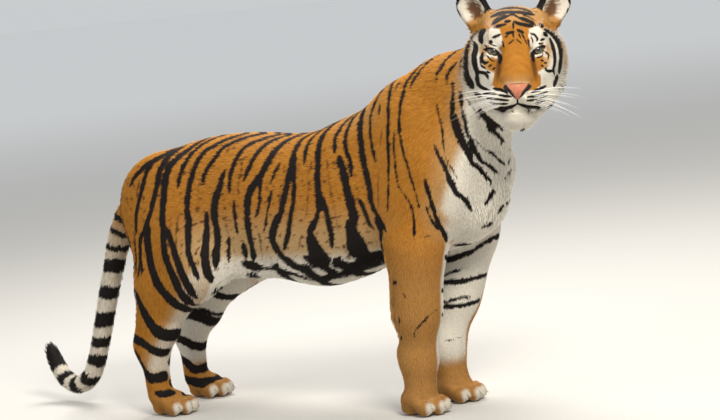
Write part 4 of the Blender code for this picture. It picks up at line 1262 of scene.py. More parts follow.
def new_group(name, inputs, outputs):
    """An empty node group and its two end nodes. inputs are names and default values."""
    tree = bpy.data.node_groups.new(name, "ShaderNodeTree")
    for title, value in inputs.items():
        socket = tree.interface.new_socket(title, in_out="INPUT", socket_type="NodeSocketFloat")
        socket.default_value = value
    for title, kind in outputs.items():
        tree.interface.new_socket(title, in_out="OUTPUT", socket_type=kind)
    return tree, tree.nodes.new("NodeGroupInput"), tree.nodes.new("NodeGroupOutput")


def tiger_colouring():
    """Ground, tan, white, flecks and stripes of the coat, from the markings at the hair's root,
    darkened towards the root as painted shade.
    """
    names = {"Stripe": 9.0, "Pale": 0.0, "Tan": 0.0, "Fleck": 9.0, "Along": 0.5, "Lock": 0.5}
    tree, start, end = new_group("tiger_colouring", names, {"Colour": "NodeSocketColor"})
    given = start.outputs
    ground = mixed(tree, given["Lock"], HAIR_COLOURS["Orange"], HAIR_COLOURS["Bright"])
    ground = mixed(tree, given["Tan"], ground, HAIR_COLOURS["Tan"])
    pale = ranged(tree, given["Pale"], 0.08, 0.92)
    ground = mixed(tree, pale, ground, HAIR_COLOURS["White"])
    fleck = ranged(tree, given["Fleck"], -2.0, 2.0, 0.90, 0.0)
    ground = mixed(tree, fleck, ground, HAIR_COLOURS["Brown"])
    # Painted shade: each hair is darkened towards its root, and the skin beneath the coat likewise.
    shade = ranged(tree, given["Along"], 0.0, 1.0, 0.62, 1.0)
    ground = mixed(tree, 1.0, ground, shade, "MULTIPLY")
    stripe = ranged(tree, given["Stripe"], -0.9, 0.9, 1.0, 0.0)
    coloured = mixed(tree, stripe, ground, HAIR_COLOURS["Black"])
    link(tree, coloured, end.inputs["Colour"])
    return tree


TIGER_COLOURING = tiger_colouring()
HAIR_VALUES = ("stripe", "pale", "tan", "fleck", "along", "lock")


def new_material(name, settings):
    """A material, its node tree and its shader, with the shader's named inputs set."""
    material = bpy.data.materials.new(name)
    material.use_nodes = True
    shader = material.node_tree.nodes["Principled BSDF"]
    for title, value in settings.items():
        shader.inputs[title].default_value = value
    return material, material.node_tree, shader


def stored(tree, name):
    """A value that is stored on the mesh's points."""
    reader = tree.nodes.new("ShaderNodeAttribute")
    reader.attribute_name = name
    return reader.outputs["Fac"]


def own_place(tree):
    return tree.nodes.new("ShaderNodeTexCoord").outputs["Object"]


def texture(tree, kind, scale, place):
    node = tree.nodes.new(kind)
    node.inputs["Scale"].default_value = scale
    link(tree, place, node.inputs["Vector"])
    return node


def raise_relief(tree, shader, height, strength, distance):
    """Fine relief, as a bump on the shader's normal."""
    bump = tree.nodes.new("ShaderNodeBump")
    bump.inputs["Strength"].default_value = strength
    bump.inputs["Distance"].default_value = distance
    link(tree, height, bump.inputs["Height"])
    link(tree, bump.outputs["Normal"], shader.inputs["Normal"])


def hair_material(name, roughness, relief):
    """The coat's finish. The markings come from the mesh's own values."""
    settings = {"Roughness": roughness, "Specular IOR Level": 0.16}
    material, tree, shader = new_material(name, settings)
    colouring = tree.nodes.new("ShaderNodeGroup")
    colouring.node_tree = TIGER_COLOURING
    for value in HAIR_VALUES:
        link(tree, stored(tree, value), colouring.inputs[value.capitalize()])
    link(tree, colouring.outputs["Colour"], shader.inputs["Base Color"])
    if relief:
        noise = texture(tree, "ShaderNodeTexNoise", 420, own_place(tree))
        noise.inputs["Detail"].default_value = 3
        raise_relief(tree, shader, noise.outputs["Fac"], relief, 0.001)
    return material


def store(mesh, name, values):
    attribute = mesh.attributes.new(name, "FLOAT", "POINT")
    attribute.data.foreach_set("value", values.astype(np.float32))


skin_places = mesh_points(skin_mesh)
skin_normals = listed(skin_mesh.vertices, "normal", 3).astype(float)
skin_shares = part_shares(skin_places)
skin_values = markings(skin_places, skin_normals, skin_shares)
for value, numbers in zip(HAIR_VALUES, skin_values):
    store(skin_mesh, value, numbers)
# The skin is set low along the hair, so it is darkened as painted shade under the coat.
store(skin_mesh, "along", np.full(len(skin_places), 0.35))
store(skin_mesh, "lock", 0.4 + 0.3 * wander(skin_places, 0.02, 3))
put_points(skin_mesh, skin_places + STAND_SHIFT)
skin_mesh.shade_smooth()
skin = new_piece("skin", skin_mesh, hair_material("skin_fur", 0.85, 0.5))
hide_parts(*FLESH_NODES)

# The skin's own unwrap, in which every tuft of the coat later gets its small patch.
bpy.context.view_layer.objects.active = skin
skin.select_set(True)
skin_mesh.uv_layers.new(name="OFBake")
bpy.ops.object.mode_set(mode="EDIT")
bpy.ops.mesh.select_all(action="SELECT")
bpy.ops.uv.smart_project(angle_limit=math.radians(66), island_margin=0.001)
bpy.ops.object.mode_set(mode="OBJECT")
skin.select_set(False)

# ---------------------------------------------------------------- coat
# Short glossy hair that lies back along the body in small overlapping tufts, downward on the
# legs, forward on the feet, and out from the nose on the face. Longer curved locks fringe the
# cheeks, throat, chest, belly, elbows and tail.
TUFTS = {  # length, width and how many grow on a square metre
    "trunk": (0.0140, 0.0029, 88000),
    "neck": (0.0155, 0.0030, 90000),
    "foreleg": (0.0105, 0.0024, 110000),
    "paw": (0.0065, 0.0017, 240000),
    "hindleg": (0.0115, 0.0026, 100000),
    "head": (0.0085, 0.0018, 230000),
    "ear": (0.0065, 0.0016, 230000),
    "tail": (0.0130, 0.0026, 110000),
}
LENGTH, WIDTH, NUMBER = range(3)
PATCH = 0.0015  # half the size of a tuft's patch on the unwrap
SUNK = 0.0012  # how deep a tuft is rooted in the skin
NEAR_ROOT, NEAR_TIP = 0.50, 0.95  # where along a tuft its markings are read
SHORT_LIFT, LONG_LIFT = 0.30, 0.42  # how steeply tufts and locks leave the skin, in radians
LONG_BEND = 0.35  # the second length of a lock rises by this share of the first


def shared(shares, column):
    """A column of TUFTS, blended over the parts a point belongs to."""
    return sum(share * TUFTS[part][column] for part, share in shares.items())


class Roots:
    """Where hairs grow: places, normals, map places and body shares."""

    def __init__(self, mesh, places, normals, density, seed):
        mesh.calc_loop_triangles()
        corners = listed(mesh.loop_triangles, "vertices", 3, np.int32)
        loops = listed(mesh.loop_triangles, "loops", 3, np.int32)
        flat = listed(mesh.uv_layers["OFBake"].data, "uv", 2)
        a, b, c = (places[corners[:, i]] for i in range(3))
        area = norm(np.cross(b - a, c - a)) / 2
        middles = (a + b + c) / 3
        facing = unit(normals[corners].mean(1))
        wanted = np.cumsum(area * density(middles, facing))
        draw = np.random.default_rng(seed)
        amount = int(wanted[-1])
        marks = (np.arange(amount) + draw.random(amount)) * wanted[-1] / amount
        chosen = np.minimum(np.searchsorted(wanted, marks), len(corners) - 1)
        across, down = draw.random(amount), draw.random(amount)
        over = across + down > 1
        across[over], down[over] = 1 - across[over], 1 - down[over]
        share = np.stack((1 - across - down, across, down), 1)[:, :, None]
        self.places = (places[corners[chosen]] * share).sum(1)
        self.normals = unit((normals[corners[chosen]] * share).sum(1))
        self.map = (flat[loops[chosen]] * share).sum(1)
        self.random = draw.random(amount)
        self.turns = draw.normal(size=amount)
        self.shares = part_shares(self.places)

    def keep(self, chosen):
        for name in ("places", "normals", "map", "random", "turns"):
            setattr(self, name, getattr(self, name)[chosen])
        self.shares = {part: share[chosen] for part, share in self.shares.items()}


def lie_of_coat(places, normals, shares):
    """The way the hair points, flat along the skin."""
    x, _, z = places.T
    count = len(places)

    def steady(*way):
        return np.tile(np.array(way, float), (count, 1))

    low = rise(-z, -0.60, -0.42)[:, None]
    chest = rise(x, 0.54, 0.62)[:, None]
    flows = {
        "trunk": steady(-1, 0, -0.16) * (1 - low) + steady(-0.9, 0, -0.50) * low,
        "neck": steady(-0.80, 0.10, -0.62),
        "foreleg": steady(-0.14, 0, -1) + steady(-0.5, 0, 0.1) * rise(z, 0.45, 0.60)[:, None],
        "hindleg": steady(-0.22, 0, -1) + steady(-0.6, 0, 0.3) * rise(z, 0.42, 0.62)[:, None],
        "paw": steady(1, 0, -0.45),
        "head": unit(places - np.array(in_head(0.185, 0, -0.075))),
    }
    flows["trunk"] = flows["trunk"] * (1 - chest) + steady(-0.25, 0, -1) * chest
    flows["ear"] = np.zeros((count, 3))
    head_side = np.sign(head_places(places)[:, 1])
    for side in SIDES:
        flows["ear"] += np.array(ear_turn(side))[:, 2] * (head_side == side)[:, None]
    line = tail_line()[:, :3]
    run = np.concatenate(((0,), np.cumsum(norm(np.diff(line, axis=0)))))
    gone = tail_run(places)
    before, after = (
        np.stack([np.interp(gone + step, run, line[:, i]) for i in range(3)], 1)
        for step in (-0.01, 0.01)
    )
    flows["tail"] = unit(after - before)
    flow = sum(share[:, None] * unit(flows[part]) for part, share in shares.items())
    flow += 0.10 * np.stack([wander(places, 0.12, seed) for seed in (21, 22, 23)], 1)
    flow -= (flow * normals).sum(1)[:, None] * normals
    return unit(flow)


def bare(places, normals):
    """Where no hair grows: nose leather, eyes, the line of the lips and the soles."""
    f, l, u = head_places(places).T
    gone = (places[:, 2] < 0.012) & (normals[:, 2] < -0.5)
    gone |= nose_shape(f, l, u) < 0.0015
    for side in SIDES:
        ahead, gap = lid_gap(places, side)
        gone |= (gap < 0.0022) & (ahead > 0) & (ahead < 0.05)
    return gone


def nose_shape(f, l, u):
    """Signed distance to the edge of the nose leather, seen from the front."""
    half = np.interp(
        u, (-0.114, -0.110, -0.100, -0.090, -0.078), (0.005, 0.010, 0.021, 0.032, 0.041)
    )
    upper = u + 0.0765 + 0.10 * l * l / 0.03
    side = (np.abs(l) - half) * 0.85
    return strongest(side, upper, -0.1145 - u, 0.150 - f)


def coat_piece(name, corners, faces, values, flat, normals, material):
    """One joined mesh of many small closed tufts, from arrays."""
    mesh = bpy.data.meshes.new(name)
    mesh.vertices.add(len(corners))
    put_points(mesh, corners + STAND_SHIFT)
    mesh.loops.add(faces.size)
    mesh.loops.foreach_set("vertex_index", faces.astype(np.int32).ravel())
    mesh.polygons.add(len(faces))
    mesh.polygons.foreach_set("loop_start", np.arange(0, faces.size, 3, dtype=np.int32))
    mesh.update(calc_edges=True)
    for value, numbers in values.items():
        store(mesh, value, numbers)
    unwrap = mesh.uv_layers.new(name="OFBake")
    unwrap.data.foreach_set("uv", flat[faces.ravel()].astype(np.float32).ravel())
    mesh.shade_smooth()
    mesh.normals_split_custom_set_from_vertices(normals.astype(np.float32))
    return new_piece(name, mesh, material)


def tufts(name, roots, length, width, lift, material, bend=None):
    """Spikes over the roots. With bend they are locks of two lengths, the second laid over."""
    flow = lie_of_coat(roots.places, roots.normals, roots.shares)
    up = roots.normals
    aside = np.cross(up, flow)
    turn = 0.16 * roots.turns if bend is None else 0.28 * roots.turns
    flow, aside = (
        flow * np.cos(turn)[:, None] + aside * np.sin(turn)[:, None],
        aside * np.cos(turn)[:, None] - flow * np.sin(turn)[:, None],
    )
    length, width, lift = (np.broadcast_to(row, len(up))[:, None] for row in (length, width, lift))
    length = length * (0.75 + 0.5 * roots.random[:, None])
    sunk = roots.places - up * SUNK
    half = aside * width / 2
    rows = [sunk - half, sunk + half, roots.places + up * width * 0.25 + flow * length * 0.12]
    along = [0.0, 0.0, 0.2]
    spots = [(-PATCH, -PATCH), (PATCH, -PATCH), (0, -PATCH * 0.4)]
    if bend is None:
        tip = roots.places + length * (np.cos(lift) * flow + np.sin(lift) * up)
        faces = np.array(((0, 2, 1), (0, 3, 2), (1, 2, 3), (0, 1, 3)))
    else:
        middle = roots.places + 0.5 * length * (np.cos(lift) * flow + np.sin(lift) * up)
        over = lift * bend
        tip = middle + 0.55 * length * (np.cos(over) * flow + np.sin(over) * up)
        rows += [middle - half * 0.8, middle + half * 0.8, middle + up * width * 0.4]
        along += [0.5, 0.5, 0.55]
        spots += [(-PATCH * 0.7, 0), (PATCH * 0.7, 0), (0, PATCH * 0.4)]
        faces = np.array(
            ((0, 2, 1), (0, 5, 2), (0, 3, 5), (2, 4, 1), (2, 5, 4), (0, 1, 4), (0, 4, 3))
            + ((3, 6, 5), (5, 6, 4), (3, 4, 6))
        )
    rows.append(tip)
    along.append(1.0)
    spots.append((0, PATCH))
    per, count = len(rows), len(up)
    corners = np.stack(rows, 1)
    shape = corners - corners.mean(1, keepdims=True)
    bulge = (shape * aside[:, None]).sum(2, keepdims=True) * aside[:, None]
    normals = unit((up[:, None] + 0.35 * bulge / np.maximum(width[:, None], 1e-6)).reshape(-1, 3))
    root_values = markings(roots.places + NEAR_ROOT * length * flow, up, roots.shares)
    tip_values = markings(roots.places + NEAR_TIP * length * flow, up, roots.shares)
    along = np.array(along)
    values = {}
    for title, low, high in zip(HAIR_VALUES, root_values, tip_values):
        spread = 0
        if title == "stripe":
            spread = 0.45 * roots.turns
        elif title == "pale":
            spread = 0.06 * roots.turns * (low > 0) * (low < 1)
        low, high = (low + spread)[:, None], (high + spread)[:, None]
        values[title] = (low * (1 - along) + high * along).ravel()
    values["lock"] = np.repeat(roots.random, per)
    values["along"] = np.tile(along, count)
    flat = (roots.map[:, None] + np.array(spots)[None]).reshape(-1, 2)
    every = (faces[None] + (np.arange(count) * per)[:, None, None]).reshape(-1, 3)
    return coat_piece(name, corners.reshape(-1, 3), every, values, flat, normals, material)


def tuft_density(places, _):
    """Tufts on a square metre. The face and the muzzle have more than the rest of the head."""
    shares = part_shares(places)
    f = head_places(places)[:, 0]
    face_part = shares["head"] * rise(f, 0.02, 0.07)
    muzzle = shares["head"] * rise(f, 0.10, 0.13)
    return shared(shares, NUMBER) + 160000 * face_part + 160000 * muzzle


def tuft_sizes(roots):
    """Lengths and widths: finer on the face and round the eyes, and longer on the chin."""
    f, _, u = head_places(roots.places).T
    on_face = roots.shares["head"] * rise(f, 0.0, 0.07)
    length = shared(roots.shares, LENGTH)
    width = shared(roots.shares, WIDTH)
    near_eye = np.full(len(f), 1.0)
    for side in SIDES:
        near_eye = np.minimum(near_eye, rise(norm(roots.places - eye_centre(side)), 0.018, 0.045))
    length = length * (1 - 0.38 * on_face) * (0.45 + 0.55 * near_eye)
    width = width * (1 - 0.30 * on_face) * (0.7 + 0.3 * near_eye)
    muzzle = roots.shares["head"] * rise(f, 0.11, 0.15)
    chin = roots.shares["head"] * rise(-u, 0.135, 0.160)
    length = length * (1 + 1.1 * chin)
    muzzle = muzzle * (1 - chin)
    return length * (1 - 0.25 * muzzle), width * (1 - 0.2 * muzzle)


coat_fur = hair_material("coat_fur", 0.68, 0)
short_hair = Roots(skin_mesh, skin_places, skin_normals, tuft_density, 11)
short_hair.keep(~bare(short_hair.places, short_hair.normals))
MOST_TUFTS = 48000  # in one piece


def coat_regions(roots):
    """Splits the roots over the named lengths of the body, a coat piece each."""
    best = np.argmax(np.stack([roots.shares[part] for part in PARTS]), 0)
    left = roots.places[:, 1] > 0
    regions = {}
    for row, part in enumerate(PARTS):
        mine = best == row
        if part in ("trunk", "foreleg", "hindleg", "paw"):
            regions[part + "_right"] = mine & ~left
            regions[part + "_left"] = mine & left
        else:
            regions[part] = mine
    return regions


def picked(roots, chosen):
    some = copy.copy(roots)
    some.keep(chosen)
    return some


for region, chosen in coat_regions(short_hair).items():
    places = np.flatnonzero(chosen)
    parts = max(1, math.ceil(len(places) / MOST_TUFTS))
    for number in range(parts):
        some = picked(short_hair, places[number::parts])
        length, width = tuft_sizes(some)
        title = f"coat_{region}" if parts == 1 else f"coat_{region}_{number + 1}"
        tufts(title, some, length, width, SHORT_LIFT, coat_fur)


def lock_strength(places, normals):
    """Where the hair is long enough to hang in locks, and by how much."""
    shares = part_shares(places)
    f, l, u = head_places(places).T
    x, _, z = places.T
    skull = shares["head"]
    ruff = skull * rise(np.abs(l), 0.068, 0.10) * rise(-f, -0.055, -0.02) * rise(-u, -0.09, -0.04)
    jaw = 0.55 * skull * rise(-u, 0.150, 0.18) * rise(-f, -0.16, -0.10)
    throat = 0.45 * shares["neck"] * rise(x, 0.54, 0.64) * rise(-z, -0.86, -0.78)
    chest = 0.6 * shares["trunk"] * rise(x, 0.56, 0.62) * rise(z, 0.42, 0.50)
    belly = shares["trunk"] * rise(-normals[:, 2], 0.15, 0.6) * rise(-z, -0.47, -0.42)
    elbow = shares["foreleg"] * rise(-normals[:, 0], 0.3, 0.8) * rise(z, 0.20, 0.30)
    haunch = shares["hindleg"] * rise(-normals[:, 0], 0.4, 0.9) * rise(z, 0.25, 0.35) * 0.6
    tail = shares["tail"] * 0.7
    nape = shares["neck"] * rise(z, 0.86, 0.92) * 0.4
    longest = strongest(ruff, jaw, throat, chest, belly, elbow, haunch, tail, nape)
    return np.clip(longest, 0, 1)


LOCKS_PER_SQUARE_METRE = 42000
MOST_LOCKS = 19500  # in one piece


def lock_density(places, normals):
    return LOCKS_PER_SQUARE_METRE * lock_strength(places, normals)


long_hair = Roots(skin_mesh, skin_places, skin_normals, lock_density, 12)
long_hair.keep(~bare(long_hair.places, long_hair.normals))
strength = lock_strength(long_hair.places, long_hair.normals)
on_head = long_hair.shares["head"]
lock_length = 0.013 + 0.011 * strength + 0.003 * on_head
lock_width = 0.0034 - 0.0008 * on_head
order = np.argsort(long_hair.places[:, 0], kind="stable")
for number, chosen in enumerate(np.array_split(order, math.ceil(len(order) / MOST_LOCKS))):
    some = picked(long_hair, chosen)
    length, width = lock_length[chosen], lock_width[chosen]
    tufts(f"locks_{number + 1}", some, length, width, LONG_LIFT, coat_fur, LONG_BEND)


# ---------------------------------------------------------------- nose leather
# The bare pad at the end of the nose: moist pink leather with fine creases and two comma-shaped
# nostrils that open outward. The dark rim is partly the leather's own colour and partly painted
# shadow of the nostril wings, and the nostrils are painted near black as painted shade.
def nose_field(points):
    """Signed distance to the surface of the leather, with its nostrils and middle crease."""
    f, l, u = head_places(points).T
    level = outline(points) + 0.0004
    pad = carved(level, -(nose_shape(f, l, u) - 0.001), 0.0035)
    for side in SIDES:
        hole = head_lump((0.192, 0.0155 * side, -0.1000), (0.014, 0.0052, 0.0042))
        inner, outer = (0.190, 0.020 * side, -0.1015), (0.180, 0.030 * side, -0.0965)
        slit = head_limb(inner, outer, 0.0026, 0.0014)
        pad = carved(pad, joined(hole[0](points), slit[0](points), 0.004), 0.003)
    crease = np.hypot(l, (f - 0.203) * 0.35) - 0.0012
    return carved(pad, np.maximum(crease, u + 0.094), 0.003)


bm = bmesh.new()
nose_middle = Matrix.Translation(in_head(0.170, 0, -0.094))
bmesh.ops.create_icosphere(bm, subdivisions=6, radius=0.03, matrix=nose_middle)
nose_mesh = finished(bm, "nose_leather")
nose_places = settled(mesh_points(nose_mesh), nose_field, 0, 16, 0.004)
nose_head = head_places(nose_places)
_, l, u = nose_head.T
pink = np.interp(u, (-0.111, -0.106, -0.094, -0.081), (0.004, 0.007, 0.014, 0.025))
# Dark rim: partly real dark leather, partly painted shadow of the nostril wings.
rim = np.maximum(rise(np.abs(l) - pink, -0.0015, 0.0025), rise(u, -0.0785, -0.0765))
nostrils = [
    norm((nose_head - (0.190, 0.020 * side, -0.0995)) * (0.6, 0.75, 1.2)) for side in SIDES
]
store(nose_mesh, "rim", rim)
# Painted shade inside the nostrils.
store(nose_mesh, "nostril_shade", 1 - rise(np.minimum(*nostrils), 0.005, 0.0095))
put_points(nose_mesh, nose_places + STAND_SHIFT)
nose_mesh.shade_smooth()


def leather():
    settings = {"Roughness": 0.50, "Specular IOR Level": 0.3}
    material, tree, shader = new_material("nose_leather", settings)
    place = own_place(tree)
    cells = texture(tree, "ShaderNodeTexVoronoi", 900, place)
    raise_relief(tree, shader, cells.outputs["Distance"], 0.5, 0.0006)
    spots = texture(tree, "ShaderNodeTexNoise", 160, place)
    blotch = ranged(tree, spots.outputs["Fac"], 0.45, 0.75, 0.0, 0.5)
    colour = mixed(tree, blotch, (0.480, 0.170, 0.095), (0.320, 0.090, 0.050))
    # The rim, dark leather and painted shadow, then the painted shade of the nostrils.
    colour = mixed(tree, stored(tree, "rim"), colour, (0.008, 0.005, 0.005))
    colour = mixed(tree, stored(tree, "nostril_shade"), colour, (0.004, 0.003, 0.003))
    link(tree, colour, shader.inputs["Base Color"])
    return material


nose = new_piece("nose_leather", nose_mesh, leather())
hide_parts("nose_pad")

# ---------------------------------------------------------------- eyes
# Glossy round eyeballs set back under the lids. The iris is amber with a greener middle and a
# dark rim, the pupil small and round, and what shows of the white is brown. The top of each
# eyeball is darkened as a painted shadow of the upper lid.
def eye_finish():
    settings = {"Roughness": 0.18, "Coat Weight": 1.0, "Coat Roughness": 0.02}
    material, tree, shader = new_material("eye_gloss", settings)
    angle = stored(tree, "off_axis")
    iris = mixed(tree, stored(tree, "streak"), (0.040, 0.025, 0.006), (0.090, 0.056, 0.014))
    iris = mixed(tree, ranged(tree, angle, 0.22, 0.50, 0.6, 0.0), iris, (0.075, 0.078, 0.024))
    iris = mixed(tree, ranged(tree, angle, 0.52, 0.64), iris, (0.020, 0.012, 0.008))
    ball = mixed(tree, ranged(tree, angle, 0.66, 0.74), iris, (0.140, 0.080, 0.050))
    ball = mixed(tree, ranged(tree, angle, 0.175, 0.205, 1.0, 0.0), ball, (0.002, 0.002, 0.002))
    # Painted shadow of the upper lid over the top of the eyeball.
    ball = mixed(tree, stored(tree, "lid_shadow"), ball, (0.012, 0.008, 0.006))
    link(tree, ball, shader.inputs["Base Color"])
    return material


eye_gloss = eye_finish()
for side, word in zip(SIDES, ("right", "left")):
    axes = eye_axes(side)
    turn = Matrix(axes.tolist()) @ Matrix.Rotation(math.radians(90), 3, "Y")
    place = Matrix.Translation(Vector(eye_centre(side))) @ turn.to_4x4()
    bm = bmesh.new()
    bmesh.ops.create_uvsphere(bm, u_segments=72, v_segments=48, radius=EYE_RADIUS, matrix=place)
    eye_mesh = finished(bm, "eye_" + word)
    places = mesh_points(eye_mesh)
    ahead, out, up = ((places - eye_centre(side)) @ axes / EYE_RADIUS).T
    off_axis = np.arctan2(np.hypot(out, up), ahead)
    store(eye_mesh, "off_axis", off_axis)
    spoke = np.arctan2(up, out)
    streak = 0.5 + 0.25 * np.sin(spoke * 9 + 3 * np.sin(spoke * 2)) + 0.25 * np.sin(spoke * 23 + 1)
    store(eye_mesh, "streak", streak)
    # How much painted lid shadow darkens each point, strongest at the top of the eyeball.
    store(eye_mesh, "lid_shadow", 0.92 * rise(up, -0.04, 0.20))
    bulge = 1 + 0.035 * (1 - rise(off_axis, 0.45, 0.80))
    places = eye_centre(side) + (places - eye_centre(side)) * bulge[:, None]
    put_points(eye_mesh, places + STAND_SHIFT)
    eye_mesh.shade_smooth()
    eye = new_piece("eyeball_" + word, eye_mesh, eye_gloss)
    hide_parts("eye_" + word)

# ---------------------------------------------------------------- claws
# Four claws on each foot: curved, flattened horn that grows on the last bone of each toe. At
# rest they are almost wholly drawn back into the fur, with only their tips showing.
CLAW_LENGTH = 0.027
CLAW_RADIUS = 0.0046
CLAW_STEPS = 8
CLAW_SIDES = 12


def tube(bm, rings):
    """Walls between rings of points, each joined to the next."""
    for low, high in zip(rings, rings[1:]):
        for j in range(len(low)):
            k = (j + 1) % len(low)
            bm.faces.new((low[j], low[k], high[k], high[j]))


def add_claw(bm, paw, size, toe):
    """A horn that curves down out of the tip of a toe, on rings that shrink to its point."""
    forward, sideways = TOES[toe]
    x = paw[0] + forward * size + 0.0150
    y = paw[1] + sideways * size
    rings = []
    for i in range(CLAW_STEPS + 1):
        share = i / CLAW_STEPS
        radius = max(CLAW_RADIUS * (1 - share) ** 0.7, 0.0003)
        z = 0.0395 * size - 0.010 * share - 0.0075 * share * share
        place = Matrix.Translation((x + CLAW_LENGTH * size * share, y, z))
        place = place @ Matrix.Rotation(math.radians(90), 4, "Y") @ Matrix.Diagonal((1, 0.72, 1, 1))
        closed = i in (0, CLAW_STEPS)
        ring = bmesh.ops.create_circle(
            bm, segments=CLAW_SIDES, radius=radius, cap_ends=closed, matrix=place
        )
        rings.append(ring["verts"])
    tube(bm, rings)


def horn():
    material, tree, shader = new_material("claw_horn", {"Roughness": 0.33, "Coat Weight": 0.3})
    stretch = tree.nodes.new("ShaderNodeMapping")
    stretch.inputs["Scale"].default_value = (60, 700, 700)
    link(tree, own_place(tree), stretch.inputs["Vector"])
    grain = texture(tree, "ShaderNodeTexNoise", 1.0, stretch.outputs["Vector"]).outputs["Fac"]
    colour = mixed(tree, grain, (0.240, 0.180, 0.120), (0.560, 0.470, 0.340))
    link(tree, colour, shader.inputs["Base Color"])
    raise_relief(tree, shader, grain, 0.25, 0.0004)
    return material


claw_horn = horn()
for feet, size, word in ((FOREPAWS, FORE_SIZE, "fore"), (HINDPAWS, HIND_SIZE, "hind")):
    for side, hand in zip(SIDES, ("right", "left")):
        for toe in range(len(TOES)):
            bm = bmesh.new()
            add_claw(bm, feet[side], size, toe)
            bmesh.ops.recalc_face_normals(bm, faces=bm.faces)
            bmesh.ops.translate(bm, verts=bm.verts, vec=Vector(STAND_SHIFT))
            title = f"claw_{word}_{hand}_{toe + 1}"
            claw_mesh = finished(bm, title)
            claw_mesh.shade_smooth()
            claw = new_piece("horn_" + title, claw_mesh, claw_horn)
            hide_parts(title)

# ---------------------------------------------------------------- whiskers
# Long stiff white hairs in four rows on each lip, swept back past the cheeks, and a few over
# each eye.
WHISKER_STEPS = 10
WHISKER_SIDES = 5


def surface_at(left, up):
    """The point of the skin that lies at left and up, seen from the front of the face."""
    forward = np.linspace(0.26, 0.0, 400)
    line = np.array([in_head(step, left, up) for step in forward])
    inside = np.flatnonzero(outline(line) < -0.003)
    return line[inside[0]]


def add_whisker(bm, root, way, droop, length, radius):
    """A thin tapering hair that leaves root along way and sags by droop."""
    way = way.normalized()
    aside = way.cross(Vector((0, 0, 1))).normalized()
    over = aside.cross(way)
    rings = []
    for i in range(WHISKER_STEPS + 1):
        share = i / WHISKER_STEPS
        centre = root + way * length * share + Vector((0, 0, -droop * length * share * share))
        size = radius * (1 - 0.88 * share)
        ring = []
        for j in range(WHISKER_SIDES):
            angle = math.tau * j / WHISKER_SIDES
            out = aside * math.cos(angle) + over * math.sin(angle)
            ring.append(bm.verts.new(centre + out * size))
        rings.append(ring)
    tube(bm, rings)
    bm.faces.new(rings[0][::-1])
    bm.faces.new(rings[-1])


bm = bmesh.new()
draw = np.random.default_rng(31)
for side in SIDES:
    for row in range(4):
        for number in range(5):
            left = (0.030 + 0.0085 * number + 0.002 * (row % 2)) * side
            up = -0.098 - 0.0095 * row + 0.0008 * number
            back = 0.30 + 0.13 * number + draw.uniform(-0.06, 0.06)
            rise_up = 0.10 - 0.12 * row + draw.uniform(-0.06, 0.06)
            way = HEAD_AXES @ Vector((0.25 - back, 0.9 * side, rise_up))
            length = 0.052 + 0.016 * number + draw.uniform(-0.008, 0.008)
            root = Vector(surface_at(left, up) + STAND_SHIFT)
            add_whisker(bm, root, way, 0.16, length, 0.00075)
    for number in range(4):
        left, up = (0.040 + 0.006 * number) * side, 0.047 + 0.002 * number
        root = Vector(surface_at(left, up) + STAND_SHIFT)
        way = HEAD_AXES @ Vector((0.12 - 0.2 * number, 0.3 * side, 0.6))
        add_whisker(bm, root, way, 0.10, 0.034 + 0.004 * number, 0.0005)
bmesh.ops.recalc_face_normals(bm, faces=bm.faces)
whisker_mesh = finished(bm, "whiskers")
whisker_mesh.shade_smooth()
whisker_hair, tree, shader = new_material("whisker_hair", {"Roughness": 0.35})
grain = texture(tree, "ShaderNodeTexNoise", 90, own_place(tree)).outputs["Fac"]
colour = mixed(tree, grain, (0.70, 0.67, 0.62), (0.93, 0.92, 0.90))
link(tree, colour, shader.inputs["Base Color"])
new_piece("whiskers", whisker_mesh, whisker_hair)

# ---------------------------------------------------------------- studio
# A plain pale floor that the animal stands on, soft light from above and from both sides, and
# the camera low in front of its right shoulder.
bm = bmesh.new()
bmesh.ops.create_grid(bm, x_segments=1, y_segments=1, size=30)
floor_mesh = finished(bm, "floor")
floor = new_object("floor", floor_mesh)
floor_settings = {"Roughness": 1.0, "Specular IOR Level": 0.0}
floor_paint, tree, shader = new_material("floor_paint", floor_settings)
distance = tree.nodes.new("ShaderNodeVectorMath")
distance.operation = "LENGTH"
link(tree, own_place(tree), distance.inputs[0])
faded = ranged(tree, distance.outputs["Value"], 3.0, 16.0)
colour = mixed(tree, faded, (0.58, 0.56, 0.53), (0.97, 0.97, 0.97))
link(tree, colour, shader.inputs["Base Color"])
floor_mesh.materials.append(floor_paint)

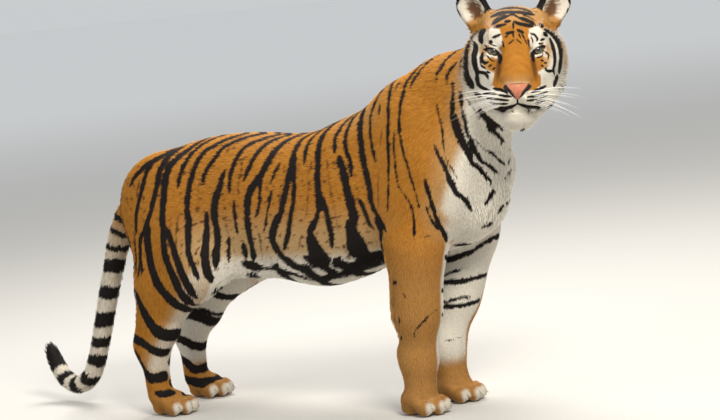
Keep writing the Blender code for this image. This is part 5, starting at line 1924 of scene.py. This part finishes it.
world = bpy.data.worlds.new("studio")
bpy.context.scene.world = world
world.use_nodes = True
sky = world.node_tree.nodes["Background"]
sky.inputs["Color"].default_value = (0.95, 0.98, 1.0, 1)
sky.inputs["Strength"].default_value = 0.62
bpy.context.scene.view_settings.view_transform = "Standard"


def soft_light(name, place, aim, size, power, colour):
    """A square lamp at place that faces aim."""
    lamp = bpy.data.lights.new(name, "AREA")
    lamp.shape = "SQUARE"
    lamp.size = size
    lamp.energy = power
    lamp.color = colour
    holder = new_object(name, lamp)
    holder.location = place
    holder.rotation_euler = (Vector(aim) - Vector(place)).to_track_quat("-Z", "Y").to_euler()


soft_light("key", (3.4, -2.6, 3.8), (0.1, 0, 0.5), 1.4, 270, (1.0, 0.95, 0.86))
soft_light("fill", (-3.2, -3.6, 2.0), (0.0, 0, 0.5), 2.5, 45, (0.95, 0.97, 1.0))
soft_light("top", (-0.6, 1.6, 4.0), (0.0, 0, 0.6), 2.0, 160, (1.0, 0.97, 0.92))

CAMERA_TURN = math.radians(33)
CAMERA_RISE = math.radians(6.5)
CAMERA_LEAN = math.radians(7)
CAMERA_DISTANCE = 7.0
CAMERA_LENS = 127.75
CAMERA_AIM = Vector((0.1915, 0.1218, 0.5212))

back = Vector((
    math.sin(CAMERA_TURN) * math.cos(CAMERA_RISE),
    -math.cos(CAMERA_TURN) * math.cos(CAMERA_RISE),
    math.sin(CAMERA_RISE),
))
sideways = (-back).cross(Vector((0, 0, 1))).normalized()
upward = sideways.cross(-back)
right = sideways * math.cos(CAMERA_LEAN) - upward * math.sin(CAMERA_LEAN)
over = sideways * math.sin(CAMERA_LEAN) + upward * math.cos(CAMERA_LEAN)
camera = bpy.data.cameras.new("camera")
camera.sensor_width = 36
camera.lens = CAMERA_LENS
camera.clip_end = 200
holder = new_object("camera", camera)
axes = Matrix((right, over, back)).transposed().to_4x4()
holder.matrix_world = Matrix.Translation(CAMERA_AIM + back * CAMERA_DISTANCE) @ axes
bpy.context.scene.camera = holder
